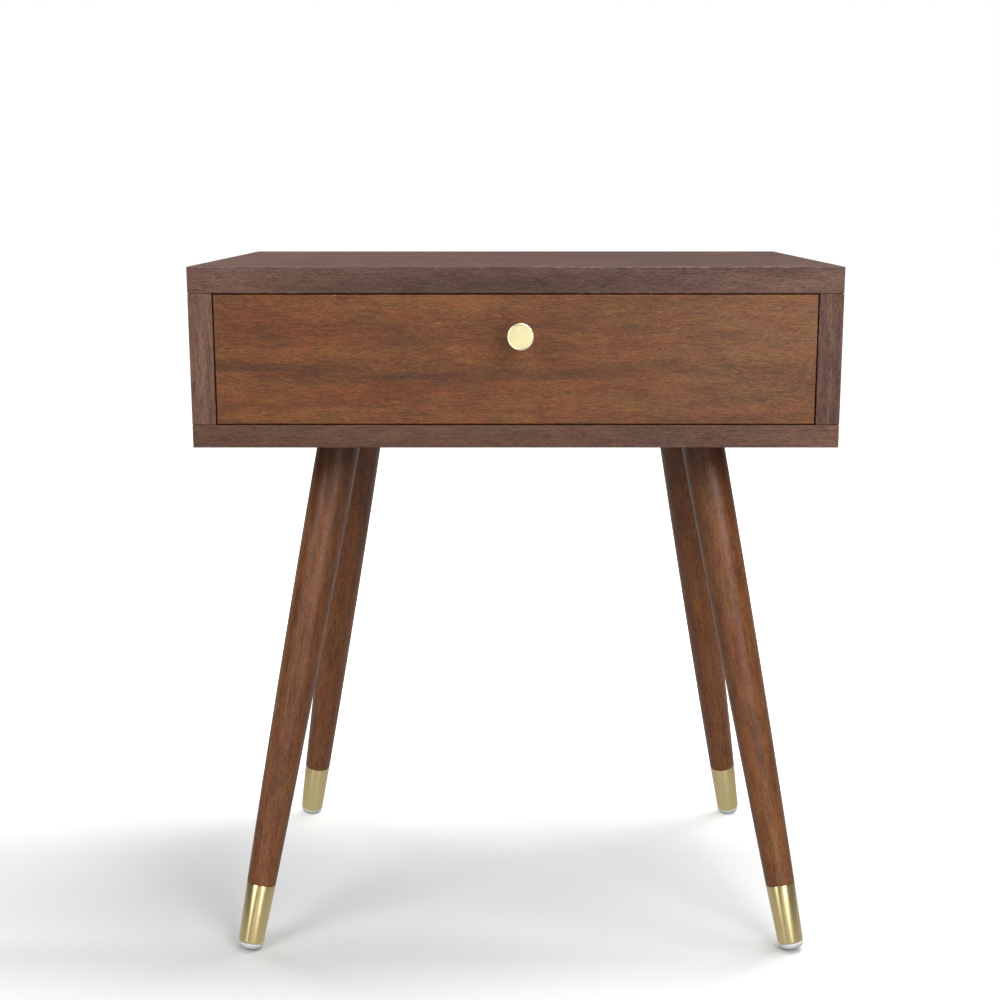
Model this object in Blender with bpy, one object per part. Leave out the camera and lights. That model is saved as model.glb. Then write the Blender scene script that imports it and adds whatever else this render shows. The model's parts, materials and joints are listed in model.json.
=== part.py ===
"""Nightstand with one inset drawer on four splayed, brass-tipped legs.

Metres, +Z up. The drawer opens towards -Y. The origin is on the floor, under the middle of the
whole piece, so the case sits a little towards +Y to make room for the knob.
"""
import math

import bmesh
import bpy
from mathutils import Matrix, Vector

# Driving dimensions of the whole piece
WIDTH = 0.500
DEPTH = 0.360
HEIGHT = 0.567
CASE_HEIGHT = 0.1385
GAP = 0.0003
EASED_EDGE = 0.0004

# Boards of the case
TOP_THICKNESS = 0.020
BOTTOM_THICKNESS = 0.0176
SIDE_THICKNESS = 0.0184
BACK_THICKNESS = 0.012
BACK_RECESS = 0.002

# Drawer front and its knob
REVEAL_SIDE = 0.0011
REVEAL_LEVEL = 0.0010
FRONT_THICKNESS = 0.018
KNOB_RADIUS = 0.0101
KNOB_HEAD_DEPTH = 0.0060
KNOB_RIM = 0.0011
KNOB_STEM_RADIUS = 0.0042
KNOB_BASE_RADIUS = 0.0062
KNOB_PROJECTION = 0.026
KNOB_BELOW_TOP = 0.0509
KNOB_SHIFT = 0.0035
KNOB_SIDES = 32
KNOB_SCREW_RADIUS = 0.0020
KNOB_SCREW_HEAD_RADIUS = 0.0042
KNOB_SCREW_HEAD_DEPTH = 0.0024
KNOB_SCREW_IN_KNOB = 0.012

# Drawer box
BOX_WALL = 0.012
BOX_HEIGHT = 0.080
BOX_CLEARANCE_BELOW = 0.008
BOX_FLOOR_THICKNESS = 0.005
BOX_FLOOR_LIFT = 0.008
GROOVE_DEPTH = 0.006
FRONT_SCREW_SPACING = 0.260
FRONT_SCREW_LENGTH = 0.024

# Ball-bearing slides, two sets of three nested steel members
SLIDE_LENGTH = 0.300
SLIDE_SPACE = 0.0127
SLIDE_HEIGHT = 0.035
SLIDE_SHEET = 0.0010
SLIDE_BALL_SPACE = 0.0026
SLIDE_LIP = 0.0012
SLIDE_SETBACK = 0.002

# Legs
SPLAY = math.radians(15.2)
FRONT_FOOT_X = 0.2274
REAR_FOOT_X = 0.2142
FRONT_LEG_TOP_X = 0.1503
REAR_LEG_TOP_X = 0.1415
FOOT_INSET = 0.021
LEG_SHIFT = 0.0042
LEG_TOP_RADIUS = 0.0176
LEG_SLIMMING = 0.0055
LEG_SLIMMING_SPAN = 0.385
LEG_CURVE = 1.72
LEG_STANDOFF = 0.0085
LEG_CHAMFER = 0.0012
LEG_SIDES = 32
LEG_RINGS = 9

# Brass ferrules and nylon glides
FERRULE_LENGTH = 0.0495
FERRULE_FOOT_RADIUS = 0.0105
FERRULE_WALL = 0.0009
FERRULE_ROUND = 0.0012
GLIDE_THICKNESS = 0.0048
GLIDE_RADIUS = 0.0101
GLIDE_FLAT_RADIUS = 0.0076
GLIDE_NAIL_RADIUS = 0.0014
GLIDE_NAIL_LENGTH = 0.016

# Leg plates and their fasteners
PLATE_SIZE = 0.062
PLATE_THICKNESS = 0.0022
PLATE_CORNER = 0.008
BOSS_RADIUS = 0.0145
HANGER_RADIUS = 0.0039
HANGER_TOP = 0.0030
HANGER_IN_LEG = 0.040
HANGER_POINT = 0.006
SCREW_OFFSET = 0.0225
SCREW_RADIUS = 0.0018
SCREW_HEAD_RADIUS = 0.0036
SCREW_HEAD_DEPTH = 0.0018
SCREW_LENGTH = 0.014
FASTENER_SIDES = 10

# Places worked out from the dimensions above
FRONT_Y = (KNOB_PROJECTION - DEPTH) / 2
BACK_Y = FRONT_Y + DEPTH
CASE_Y = (FRONT_Y + BACK_Y) / 2
UNDERSIDE_Z = HEIGHT - CASE_HEIGHT
OPENING_LOW_Z = UNDERSIDE_Z + BOTTOM_THICKNESS
OPENING_HIGH_Z = HEIGHT - TOP_THICKNESS
OPENING_HALF_WIDTH = WIDTH / 2 - SIDE_THICKNESS
KNOB_Z = HEIGHT - KNOB_BELOW_TOP
BOX_HALF_WIDTH = OPENING_HALF_WIDTH - SLIDE_SPACE
BOX_INNER_HALF_WIDTH = BOX_HALF_WIDTH - BOX_WALL
BOX_LOW_Z = OPENING_LOW_Z + BOX_CLEARANCE_BELOW
BOX_HIGH_Z = BOX_LOW_Z + BOX_HEIGHT
BOX_FRONT_Y = FRONT_Y + FRONT_THICKNESS + GAP
BOX_BACK_Y = BOX_FRONT_Y + SLIDE_LENGTH
SLIDE_MIDDLE_Z = (BOX_LOW_Z + BOX_HIGH_Z) / 2
SLIDE_FRONT_Y = BOX_FRONT_Y + SLIDE_SETBACK
LEG_AXIS_LENGTH = (UNDERSIDE_Z - GLIDE_FLAT_RADIUS * math.sin(SPLAY)) / math.cos(SPLAY)
GLIDE_TOP = LEG_AXIS_LENGTH - GLIDE_THICKNESS
FERRULE_BOTTOM = GLIDE_TOP - GAP
FERRULE_TOP = FERRULE_BOTTOM - FERRULE_LENGTH


def clear_scene():
    for old in list(bpy.data.objects):
        bpy.data.objects.remove(old, do_unlink=True)


def make_material(name, colour, roughness, metallic=0.0):
    """A plain Principled material with one colour."""
    result = bpy.data.materials.new(name)
    result.use_nodes = True
    shader = result.node_tree.nodes["Principled BSDF"]
    shader.inputs["Base Color"].default_value = (*colour, 1.0)
    shader.inputs["Roughness"].default_value = roughness
    shader.inputs["Metallic"].default_value = metallic
    return result


def make_object(name, mesh, material, parent=None, place=None):
    """Put a mesh in the scene, at a matrix in its parent's space."""
    piece = bpy.data.objects.new(name, mesh)
    bpy.context.scene.collection.objects.link(piece)
    if not mesh.materials:
        mesh.materials.append(material)
    piece.parent = parent
    piece.matrix_local = place or Matrix()
    return piece


def make_frame(name, place, parent=None):
    """An empty that carries the pieces of one assembly."""
    frame = bpy.data.objects.new(name, None)
    bpy.context.scene.collection.objects.link(frame)
    frame.parent = parent
    frame.matrix_local = place
    return frame


def finish_mesh(name, shape, smooth=False):
    bmesh.ops.recalc_face_normals(shape, faces=shape.faces)
    mesh = bpy.data.meshes.new(name)
    shape.to_mesh(mesh)
    shape.free()
    if smooth:
        mesh.shade_smooth()
        mesh.set_sharp_from_angle(angle=math.radians(35))
    return mesh


def block_mesh(name, size, edge=0.0):
    """A rectangular board about its own centre, with its edges eased by a small chamfer."""
    shape = bmesh.new()
    bmesh.ops.create_cube(shape, size=1.0)
    bmesh.ops.scale(shape, vec=size, verts=shape.verts)
    if edge:
        bmesh.ops.bevel(shape, geom=shape.edges[:], offset=edge, segments=1, affect="EDGES")
    return finish_mesh(name, shape)


def bar_mesh(name, outline, length, along):
    """An outline of (a, b) points extruded over length, centred, along "X" or "Y"."""
    place = {"X": lambda a, b: (-length / 2, a, b), "Y": lambda a, b: (a, -length / 2, b)}[along]
    travel = {"X": (length, 0, 0), "Y": (0, length, 0)}[along]
    shape = bmesh.new()
    face = shape.faces.new([shape.verts.new(place(a, b)) for a, b in outline])
    extruded = bmesh.ops.extrude_face_region(shape, geom=[face])["geom"]
    moved = [item for item in extruded if isinstance(item, bmesh.types.BMVert)]
    bmesh.ops.translate(shape, verts=moved, vec=travel)
    return finish_mesh(name, shape)


def turned_mesh(name, outline, sides, closed=False):
    """(radius, height) points turned about Z; a closed outline makes a ring with a hole."""
    shape = bmesh.new()
    points = [shape.verts.new((radius, 0, height)) for radius, height in outline]
    pairs = list(zip(points, points[1:]))
    if closed:
        pairs.append((points[-1], points[0]))
    edges = [shape.edges.new(pair) for pair in pairs]
    bmesh.ops.spin(shape, geom=points + edges, cent=(0, 0, 0), axis=(0, 0, 1),
                   angle=2 * math.pi, steps=sides, use_merge=True)
    bmesh.ops.remove_doubles(shape, verts=shape.verts, dist=1e-6)
    return finish_mesh(name, shape, smooth=True)


def cut(piece, mesh, place=None, operation="DIFFERENCE"):
    """Add an exact Boolean modifier whose hidden cutter is placed in the parent's space."""
    cutter = bpy.data.objects.new(piece.name + "_cutter", mesh)
    bpy.context.scene.collection.objects.link(cutter)
    cutter.parent = piece.parent
    cutter.matrix_local = place or Matrix()
    cutter.hide_render = True
    cutter.display_type = "WIRE"
    step = piece.modifiers.new(operation.title(), "BOOLEAN")
    step.operation = operation
    step.solver = "EXACT"
    step.object = cutter


def board(name, low, high, material, edge=EASED_EDGE, parent=None):
    """A board between two corners."""
    low, high = Vector(low), Vector(high)
    mesh = block_mesh(name, high - low, edge)
    return make_object(name, mesh, material, parent, Matrix.Translation((low + high) / 2))


def leg_radius(down):
    """Leg radius at a distance down its axis: full above, slimming faster towards the foot."""
    return LEG_TOP_RADIUS - LEG_SLIMMING * (down / LEG_SLIMMING_SPAN) ** LEG_CURVE


def build_case(wood, inner_wood):
    """Top and bottom boards, two sides between them and a back between the sides."""
    half = WIDTH / 2
    board("top_panel", (-half, FRONT_Y, OPENING_HIGH_Z), (half, BACK_Y, HEIGHT), wood)
    bottom = board("bottom_panel", (-half, FRONT_Y, UNDERSIDE_Z), (half, BACK_Y, OPENING_LOW_Z), wood)
    low_z, high_z = OPENING_LOW_Z + GAP, OPENING_HIGH_Z - GAP
    for name, outer, inner in (("left_side_panel", -half, -OPENING_HALF_WIDTH),
                               ("right_side_panel", OPENING_HALF_WIDTH, half)):
        board(name, (outer, FRONT_Y, low_z), (inner, BACK_Y, high_z), wood)
    side = OPENING_HALF_WIDTH - GAP
    back_y = BACK_Y - BACK_RECESS
    board("back_panel", (-side, back_y - BACK_THICKNESS, low_z), (side, back_y, high_z), inner_wood)
    return bottom


def grooved_outline(length, height, groove_low):
    """Board section as (thickness, height) points, with the floor's groove on its far face."""
    groove_high = groove_low + BOX_FLOOR_THICKNESS + 2 * GAP
    bed = length - GROOVE_DEPTH
    return [(0, 0), (length, 0), (length, groove_low), (bed, groove_low), (bed, groove_high),
            (length, groove_high), (length, height), (0, height)]


def rod(shape, radius, depth, place, end_radius=None, sides=FASTENER_SIDES):
    """Add a capped rod about its own middle along Z, for pilot holes and bores."""
    bmesh.ops.create_cone(shape, cap_ends=True, segments=sides, radius1=radius,
                          radius2=end_radius or radius, depth=depth, matrix=place)


def drill(piece, radius, places, start_y, end_y):
    """Drill round holes along Y between two depths, at the given (x, z) places."""
    holes = bmesh.new()
    for x, z in places:
        middle = Matrix.Translation((x, (start_y + end_y) / 2, z))
        rod(holes, radius, end_y - start_y, middle @ Matrix.Rotation(math.pi / 2, 4, "X"))
    cut(piece, finish_mesh(piece.name + "_holes", holes))


def build_drawer(frame, wood, box_wood, box_floor):
    """An applied front on a five-board box whose floor runs in grooves."""
    front_half = OPENING_HALF_WIDTH - REVEAL_SIDE
    front = board("drawer_front", (-front_half, FRONT_Y, OPENING_LOW_Z + REVEAL_LEVEL),
                  (front_half, FRONT_Y + FRONT_THICKNESS, OPENING_HIGH_Z - REVEAL_LEVEL),
                  wood, parent=frame)
    section = grooved_outline(BOX_WALL, BOX_HEIGHT, BOX_FLOOR_LIFT)
    middle_y = (BOX_FRONT_Y + BOX_BACK_Y) / 2
    for name, hand in (("drawer_left_side", -1), ("drawer_right_side", 1)):
        mesh = bar_mesh(name, [(-hand * a, b) for a, b in section], SLIDE_LENGTH, "Y")
        place = Matrix.Translation((hand * BOX_HALF_WIDTH, middle_y, BOX_LOW_Z))
        make_object(name, mesh, box_wood, frame, place)
    cross_length = 2 * (BOX_INNER_HALF_WIDTH - GAP)
    front_mesh = bar_mesh("drawer_box_front", section, cross_length, "X")
    box_front = make_object("drawer_box_front", front_mesh, box_wood, frame,
                            Matrix.Translation((0, BOX_FRONT_Y, BOX_LOW_Z)))
    back_mesh = bar_mesh("drawer_back", [(-a, b) for a, b in section], cross_length, "X")
    make_object("drawer_back", back_mesh, box_wood, frame,
                Matrix.Translation((0, BOX_BACK_Y, BOX_LOW_Z)))
    tongue = GROOVE_DEPTH - GAP
    floor_half = BOX_INNER_HALF_WIDTH + tongue
    floor_low = BOX_LOW_Z + BOX_FLOOR_LIFT + GAP
    board("drawer_bottom", (-floor_half, BOX_FRONT_Y + BOX_WALL - tongue, floor_low),
          (floor_half, BOX_BACK_Y - BOX_WALL + tongue, floor_low + BOX_FLOOR_THICKNESS),
          box_floor, edge=0, parent=frame)
    return front, box_front


def build_knob(frame, front, box_front, brass, steel):
    """A small mushroom knob, drawn up by a screw through both front boards."""
    rim = KNOB_RADIUS - KNOB_RIM
    neck = KNOB_PROJECTION - KNOB_HEAD_DEPTH
    bore = KNOB_SCREW_RADIUS + GAP
    outline = [(0, KNOB_SCREW_IN_KNOB + GAP), (bore, KNOB_SCREW_IN_KNOB + GAP), (bore, GAP),
               (KNOB_BASE_RADIUS, GAP), (KNOB_BASE_RADIUS, 0.0015), (KNOB_STEM_RADIUS, 0.005),
               (KNOB_STEM_RADIUS, neck - 0.006), (0.0062, neck - 0.0022), (KNOB_RADIUS, neck),
               (KNOB_RADIUS, KNOB_PROJECTION - KNOB_RIM), (rim, KNOB_PROJECTION),
               (0, KNOB_PROJECTION)]
    outwards = Matrix.Translation((KNOB_SHIFT, FRONT_Y, KNOB_Z)) @ Matrix.Rotation(math.pi / 2, 4, "X")
    make_object("knob", turned_mesh("knob", outline, KNOB_SIDES), brass, frame, outwards)
    through = FRONT_THICKNESS + GAP + BOX_WALL
    head = -through - GAP
    screw = [(0, KNOB_SCREW_IN_KNOB), (KNOB_SCREW_RADIUS, KNOB_SCREW_IN_KNOB),
             (KNOB_SCREW_RADIUS, head), (KNOB_SCREW_HEAD_RADIUS, head),
             (KNOB_SCREW_HEAD_RADIUS, head - KNOB_SCREW_HEAD_DEPTH / 2),
             (KNOB_SCREW_HEAD_RADIUS * 0.6, head - KNOB_SCREW_HEAD_DEPTH),
             (0, head - KNOB_SCREW_HEAD_DEPTH)]
    make_object("knob_screw", turned_mesh("knob_screw", screw, FASTENER_SIDES), steel, frame, outwards)
    inside_y = BOX_FRONT_Y + BOX_WALL + GAP
    beyond = 0.005
    knob_place = (KNOB_SHIFT, KNOB_Z)
    screw_places = [(hand * FRONT_SCREW_SPACING / 2, SLIDE_MIDDLE_Z) for hand in (-1, 1)]
    drill(front, bore, [knob_place], FRONT_Y - beyond, inside_y)
    drill(front, bore, screw_places, inside_y - FRONT_SCREW_LENGTH - GAP, inside_y)
    drill(box_front, bore, [knob_place] + screw_places, FRONT_Y, inside_y + beyond)
    fixing = [(0, -FRONT_SCREW_LENGTH), (KNOB_SCREW_RADIUS, -FRONT_SCREW_LENGTH + 0.003),
              (KNOB_SCREW_RADIUS, 0), (KNOB_SCREW_HEAD_RADIUS, 0),
              (KNOB_SCREW_HEAD_RADIUS * 0.8, KNOB_SCREW_HEAD_DEPTH * 0.8), (0, KNOB_SCREW_HEAD_DEPTH)]
    inwards = Matrix.Rotation(-math.pi / 2, 4, "X")
    mesh = turned_mesh("front_screw", fixing, FASTENER_SIDES)
    for name, (x, z) in zip(("left_front_screw", "right_front_screw"), screw_places):
        make_object(name, mesh, steel, frame, Matrix.Translation((x, inside_y, z)) @ inwards)


def channel_outline(web, end, height, lip):
    """Section of a rolled C-shaped member: a web, two flanges out to end, and their turned lips.

    A positive lip turns inwards, round the balls outside the next member, and a negative one
    turns outwards.
    """
    sheet = math.copysign(SLIDE_SHEET, end - web)
    corner = sheet * 0.7
    top = height / 2
    inner = top - SLIDE_SHEET
    upper = [(web + sheet, inner - SLIDE_SHEET * 0.5), (web + sheet * 1.5, inner)]
    if lip > 0:
        upper += [(end - sheet, inner), (end - sheet, inner - lip), (end, inner - lip), (end, top)]
    elif lip < 0:
        upper += [(end, inner), (end, top - lip), (end - sheet, top - lip), (end - sheet, top)]
    else:
        upper += [(end, inner), (end, top)]
    upper += [(web + corner, top), (web, top - SLIDE_SHEET * 0.7)]
    lower = [(x, -z) for x, z in reversed(upper)]
    return upper + lower


def build_slides(root, drawer, steel):
    """Three nested members each side: on the case, between, and on the drawer box.

    Distances run from the side panel towards the drawer box.
    """
    nest = 2 * (SLIDE_SHEET + SLIDE_BALL_SPACE)
    members = (("case", GAP, SLIDE_SPACE - 0.0035, SLIDE_HEIGHT, SLIDE_LIP),
               ("middle", GAP + SLIDE_SHEET + 0.0016, SLIDE_SPACE - 0.0030, SLIDE_HEIGHT - nest, 0),
               ("drawer", SLIDE_SPACE - GAP, GAP + 2 * SLIDE_SHEET + 0.0036,
                SLIDE_HEIGHT - 2 * nest, -SLIDE_LIP))
    middle_y = SLIDE_FRONT_Y + SLIDE_LENGTH / 2
    length = SLIDE_LENGTH - SLIDE_SETBACK
    for side, hand in (("left", -1), ("right", 1)):
        wall = Vector((hand * OPENING_HALF_WIDTH, middle_y - SLIDE_SETBACK / 2, SLIDE_MIDDLE_Z))
        middle_frame = make_frame(side + "_slide_travel", Matrix.Translation(wall))
        homes = {"case": (root, wall), "middle": (middle_frame, Vector()), "drawer": (drawer, wall)}
        for role, web, end, height, lip in members:
            outline = channel_outline(-hand * web, -hand * end, height, lip)
            name = f"{side}_slide_{role}_member"
            parent, place = homes[role]
            make_object(name, bar_mesh(name, outline, length, "Y"), steel, parent,
                        Matrix.Translation(place))


def plate_screw_places():
    return [Vector((x * SCREW_OFFSET, y * SCREW_OFFSET, 0)) for x in (-1, 1) for y in (-1, 1)]


def leg_meshes():
    """Meshes shared by the four legs, running down their own -Z from the case's underside."""
    bore = HANGER_RADIUS + GAP
    bore_end = LEG_STANDOFF + HANGER_IN_LEG + 2 * GAP
    foot = leg_radius(FERRULE_TOP)
    inside_top = foot - FERRULE_WALL
    inside_foot = FERRULE_FOOT_RADIUS - FERRULE_WALL
    nail = GLIDE_NAIL_RADIUS + GAP
    nail_end = GLIDE_TOP - GLIDE_NAIL_LENGTH - GAP
    spigot_end = FERRULE_BOTTOM - FERRULE_WALL - GAP
    leg = [(0, -bore_end), (bore, -bore_end), (bore, -LEG_STANDOFF),
           (LEG_TOP_RADIUS - LEG_CHAMFER, -LEG_STANDOFF)]
    shoulder = FERRULE_TOP - GAP
    start = LEG_STANDOFF + LEG_CHAMFER
    for ring in range(LEG_RINGS + 1):
        down = start + (shoulder - start) * ring / LEG_RINGS
        leg.append((leg_radius(down), -down))
    leg += [(inside_top - GAP, -shoulder), (inside_foot - GAP, -spigot_end), (nail, -spigot_end),
            (nail, -nail_end), (0, -nail_end)]
    ferrule = [(foot, -FERRULE_TOP), (FERRULE_FOOT_RADIUS, -FERRULE_BOTTOM + FERRULE_ROUND),
               (FERRULE_FOOT_RADIUS - FERRULE_ROUND * 0.3, -FERRULE_BOTTOM + FERRULE_ROUND * 0.3),
               (FERRULE_FOOT_RADIUS - FERRULE_ROUND, -FERRULE_BOTTOM), (nail, -FERRULE_BOTTOM),
               (nail, -FERRULE_BOTTOM + FERRULE_WALL), (inside_foot, -FERRULE_BOTTOM + FERRULE_WALL),
               (inside_top, -FERRULE_TOP)]
    glide = [(0, -GLIDE_TOP + GLIDE_NAIL_LENGTH), (GLIDE_NAIL_RADIUS, -GLIDE_TOP + GLIDE_NAIL_LENGTH),
             (GLIDE_NAIL_RADIUS, -GLIDE_TOP), (GLIDE_RADIUS, -GLIDE_TOP),
             (GLIDE_RADIUS, -GLIDE_TOP - GLIDE_THICKNESS * 0.35),
             (GLIDE_FLAT_RADIUS, -LEG_AXIS_LENGTH), (0, -LEG_AXIS_LENGTH)]
    hanger_end = LEG_STANDOFF + HANGER_IN_LEG
    hanger = [(0, -HANGER_TOP), (HANGER_RADIUS, -HANGER_TOP),
              (HANGER_RADIUS, -hanger_end + HANGER_POINT), (0, -hanger_end)]
    return {"leg": turned_mesh("leg", leg, LEG_SIDES),
            "ferrule": turned_mesh("ferrule", ferrule, LEG_SIDES, closed=True),
            "glide": turned_mesh("glide", glide, LEG_SIDES),
            "hanger_bolt": turned_mesh("hanger_bolt", hanger, FASTENER_SIDES)}


def screw_mesh():
    """Countersunk wood screw pointing up, its flat head level with z = 0."""
    outline = [(0, 0), (SCREW_HEAD_RADIUS, 0), (SCREW_RADIUS, SCREW_HEAD_DEPTH),
               (SCREW_RADIUS, SCREW_LENGTH - 0.003), (0, SCREW_LENGTH)]
    return turned_mesh("plate_screw", outline, FASTENER_SIDES)


def build_plate(name, frame, tilt, steel):
    """A pressed steel plate whose tilted boss sets the leg's splay."""
    mesh = block_mesh(name, (PLATE_SIZE, PLATE_SIZE, PLATE_THICKNESS))
    shape = bmesh.new()
    shape.from_mesh(mesh)
    corners = [edge for edge in shape.edges if abs((edge.verts[0].co - edge.verts[1].co).z) > GAP]
    bmesh.ops.bevel(shape, geom=corners, offset=PLATE_CORNER, segments=3, affect="EDGES", profile=0.5)
    shape.to_mesh(mesh)
    shape.free()
    down = PLATE_THICKNESS / 2 + GAP
    plate = make_object(name, mesh, steel, frame, Matrix.Translation((0, 0, -down)))
    boss_length = 0.020
    boss_foot = LEG_STANDOFF - GAP
    boss = bmesh.new()
    rod(boss, BOSS_RADIUS, boss_length, Matrix.Translation((0, 0, boss_length / 2 - boss_foot)),
        sides=LEG_SIDES)
    cut(plate, finish_mesh("boss", boss), tilt, "UNION")
    above = block_mesh("above_plate", (PLATE_SIZE, PLATE_SIZE, boss_length))
    cut(plate, above, Matrix.Translation((0, 0, boss_length / 2 - GAP)))
    bore = bmesh.new()
    rod(bore, HANGER_RADIUS + GAP, 2 * boss_length, Matrix())
    cut(plate, finish_mesh("plate_bore", bore), tilt)
    sinks, shafts = bmesh.new(), bmesh.new()
    shank, head = SCREW_RADIUS + GAP, SCREW_HEAD_RADIUS + GAP
    sink_z = SCREW_HEAD_DEPTH / 2 - PLATE_THICKNESS - GAP
    for place in plate_screw_places():
        rod(sinks, head, SCREW_HEAD_DEPTH, Matrix.Translation(place + Vector((0, 0, sink_z))), shank)
        rod(shafts, shank, boss_length, Matrix.Translation(place))
    cut(plate, finish_mesh("countersinks", sinks))
    cut(plate, finish_mesh("shank_holes", shafts))


def leg_places():
    """Each leg's name and the empty's place at the case's underside, +X turned to its splay."""
    for end, foot_x, top_x in (("front", FRONT_FOOT_X, FRONT_LEG_TOP_X),
                               ("rear", REAR_FOOT_X, REAR_LEG_TOP_X)):
        reach = LEG_AXIS_LENGTH * math.sin(SPLAY)
        out_x = foot_x - top_x
        out_y = math.sqrt(reach ** 2 - out_x ** 2)
        for side, hand in (("left", -1), ("right", 1)):
            if end == "front":
                top_y, way = FRONT_Y + FOOT_INSET + out_y, -1
            else:
                top_y, way = BACK_Y - FOOT_INSET - out_y, 1
            turn = Matrix.Rotation(math.atan2(way * out_y, hand * out_x), 4, "Z")
            place = Matrix.Translation((hand * top_x + LEG_SHIFT, top_y, UNDERSIDE_Z))
            yield f"{end}_{side}", place @ turn


def build_legs(bottom, wood, brass, nylon, steel):
    """Four turned legs, each on its own plate with a hanger bolt, ferrule and glide."""
    tilt = Matrix.Rotation(-SPLAY, 4, "Y")
    shared = leg_meshes()
    materials = {"leg": wood, "ferrule": brass, "glide": nylon, "hanger_bolt": steel}
    fixing = screw_mesh()
    pilots = bmesh.new()
    for corner, place in leg_places():
        frame = make_frame(corner + "_leg_mount", place)
        for kind, mesh in shared.items():
            make_object(f"{corner}_{kind}", mesh, materials[kind], frame, tilt)
        build_plate(corner + "_leg_plate", frame, tilt, steel)
        for number, spot in enumerate(plate_screw_places(), start=1):
            seat = Matrix.Translation(spot + Vector((0, 0, -PLATE_THICKNESS - GAP)))
            make_object(f"{corner}_plate_screw_{number}", fixing, steel, frame, seat)
            rod(pilots, SCREW_RADIUS + GAP, 2 * (SCREW_LENGTH - PLATE_THICKNESS + GAP),
                place @ Matrix.Translation(spot))
    cut(bottom, finish_mesh("pilot_holes", pilots))


def main():
    clear_scene()
    walnut = make_material("walnut_board", (0.150, 0.066, 0.036), 0.45)
    front_walnut = make_material("walnut_front", (0.205, 0.088, 0.040), 0.42)
    leg_wood = make_material("leg_wood", (0.120, 0.045, 0.020), 0.32)
    back_wood = make_material("back_board", (0.120, 0.060, 0.036), 0.60)
    box_wood = make_material("drawer_box_wood", (0.520, 0.360, 0.210), 0.60)
    box_floor = make_material("drawer_floor_ply", (0.560, 0.410, 0.260), 0.62)
    brass = make_material("satin_brass", (0.780, 0.600, 0.270), 0.28, 1.0)
    nylon = make_material("white_nylon", (0.820, 0.820, 0.800), 0.45)
    zinc = make_material("zinc_steel", (0.560, 0.560, 0.550), 0.35, 1.0)
    case = make_frame("case_frame", Matrix())
    drawer_place = Matrix.Translation((0, FRONT_Y, SLIDE_MIDDLE_Z))
    drawer = make_frame("drawer_travel", drawer_place)
    inside = make_frame("drawer_pieces", drawer_place.inverted(), drawer)
    bottom = build_case(walnut, back_wood)
    front, box_front = build_drawer(inside, front_walnut, box_wood, box_floor)
    build_knob(inside, front, box_front, brass, zinc)
    build_slides(case, inside, zinc)
    build_legs(bottom, leg_wood, brass, nylon, zinc)


main()
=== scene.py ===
"""A one-drawer nightstand on turned legs: its finishes, fastenings, slides and studio.

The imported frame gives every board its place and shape, and the boards get their finishes here.
The legs, ferrules, glides, knob, screws and drawer slides are made again with finer shapes.
Lengths are metres.
"""

import json
import math

import bmesh
import bpy
from mathutils import Matrix, Vector

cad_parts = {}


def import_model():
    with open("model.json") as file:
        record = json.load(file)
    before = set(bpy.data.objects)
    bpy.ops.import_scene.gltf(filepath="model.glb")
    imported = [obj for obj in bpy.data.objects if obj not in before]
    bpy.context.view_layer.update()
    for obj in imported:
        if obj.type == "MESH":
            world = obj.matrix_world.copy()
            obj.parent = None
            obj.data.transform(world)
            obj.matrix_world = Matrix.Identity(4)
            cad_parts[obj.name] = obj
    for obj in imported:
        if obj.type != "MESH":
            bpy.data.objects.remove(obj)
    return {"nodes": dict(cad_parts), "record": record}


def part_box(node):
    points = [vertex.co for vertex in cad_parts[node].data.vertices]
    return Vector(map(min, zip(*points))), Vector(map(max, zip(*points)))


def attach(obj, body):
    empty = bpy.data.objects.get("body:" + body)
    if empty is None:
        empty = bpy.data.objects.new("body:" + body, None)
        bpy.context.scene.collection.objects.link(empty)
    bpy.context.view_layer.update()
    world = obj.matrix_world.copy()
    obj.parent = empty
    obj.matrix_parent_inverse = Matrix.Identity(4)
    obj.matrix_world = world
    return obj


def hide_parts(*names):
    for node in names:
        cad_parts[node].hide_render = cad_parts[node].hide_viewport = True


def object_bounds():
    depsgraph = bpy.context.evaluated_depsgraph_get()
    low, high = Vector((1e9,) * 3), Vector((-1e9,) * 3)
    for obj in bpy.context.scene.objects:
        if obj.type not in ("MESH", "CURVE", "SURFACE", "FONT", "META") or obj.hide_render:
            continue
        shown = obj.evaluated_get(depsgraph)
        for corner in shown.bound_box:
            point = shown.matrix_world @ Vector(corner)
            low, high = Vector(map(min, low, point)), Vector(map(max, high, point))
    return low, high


GAP = 0.0003

# Legs: distances run down the leg's axis from the case's underside.
LEG_TOP_RADIUS = 0.0176
LEG_SLIMMING = 0.0055
LEG_SLIMMING_SPAN = 0.385
LEG_CURVE = 1.72
LEG_STANDOFF = 0.0085
LEG_ROUNDING = 0.0012
LEG_SIDES = 72
LEG_RINGS = 44
HANGER_BORE_RADIUS = 0.0042
HANGER_BORE_END = 0.0491

# Ferrules and glides: distances run up the axis from the glide's flat face.
FERRULE_LENGTH = 0.0495
FERRULE_FOOT_RADIUS = 0.0105
FERRULE_WALL = 0.0009
FERRULE_ROUNDING = 0.0012
FERRULE_LIP = 0.00025
GLIDE_THICKNESS = 0.0048
GLIDE_RADIUS = 0.0101
GLIDE_FLAT_RADIUS = 0.0076
GLIDE_LIP = 0.0003
NAIL_RADIUS = 0.0014
NAIL_LENGTH = 0.016
NAIL_HOLE = NAIL_RADIUS + GAP
FERRULE_LOW = GLIDE_THICKNESS + GAP
FERRULE_HIGH = FERRULE_LOW + FERRULE_LENGTH
FERRULE_INSIDE_LOW = FERRULE_FOOT_RADIUS - FERRULE_WALL

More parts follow.
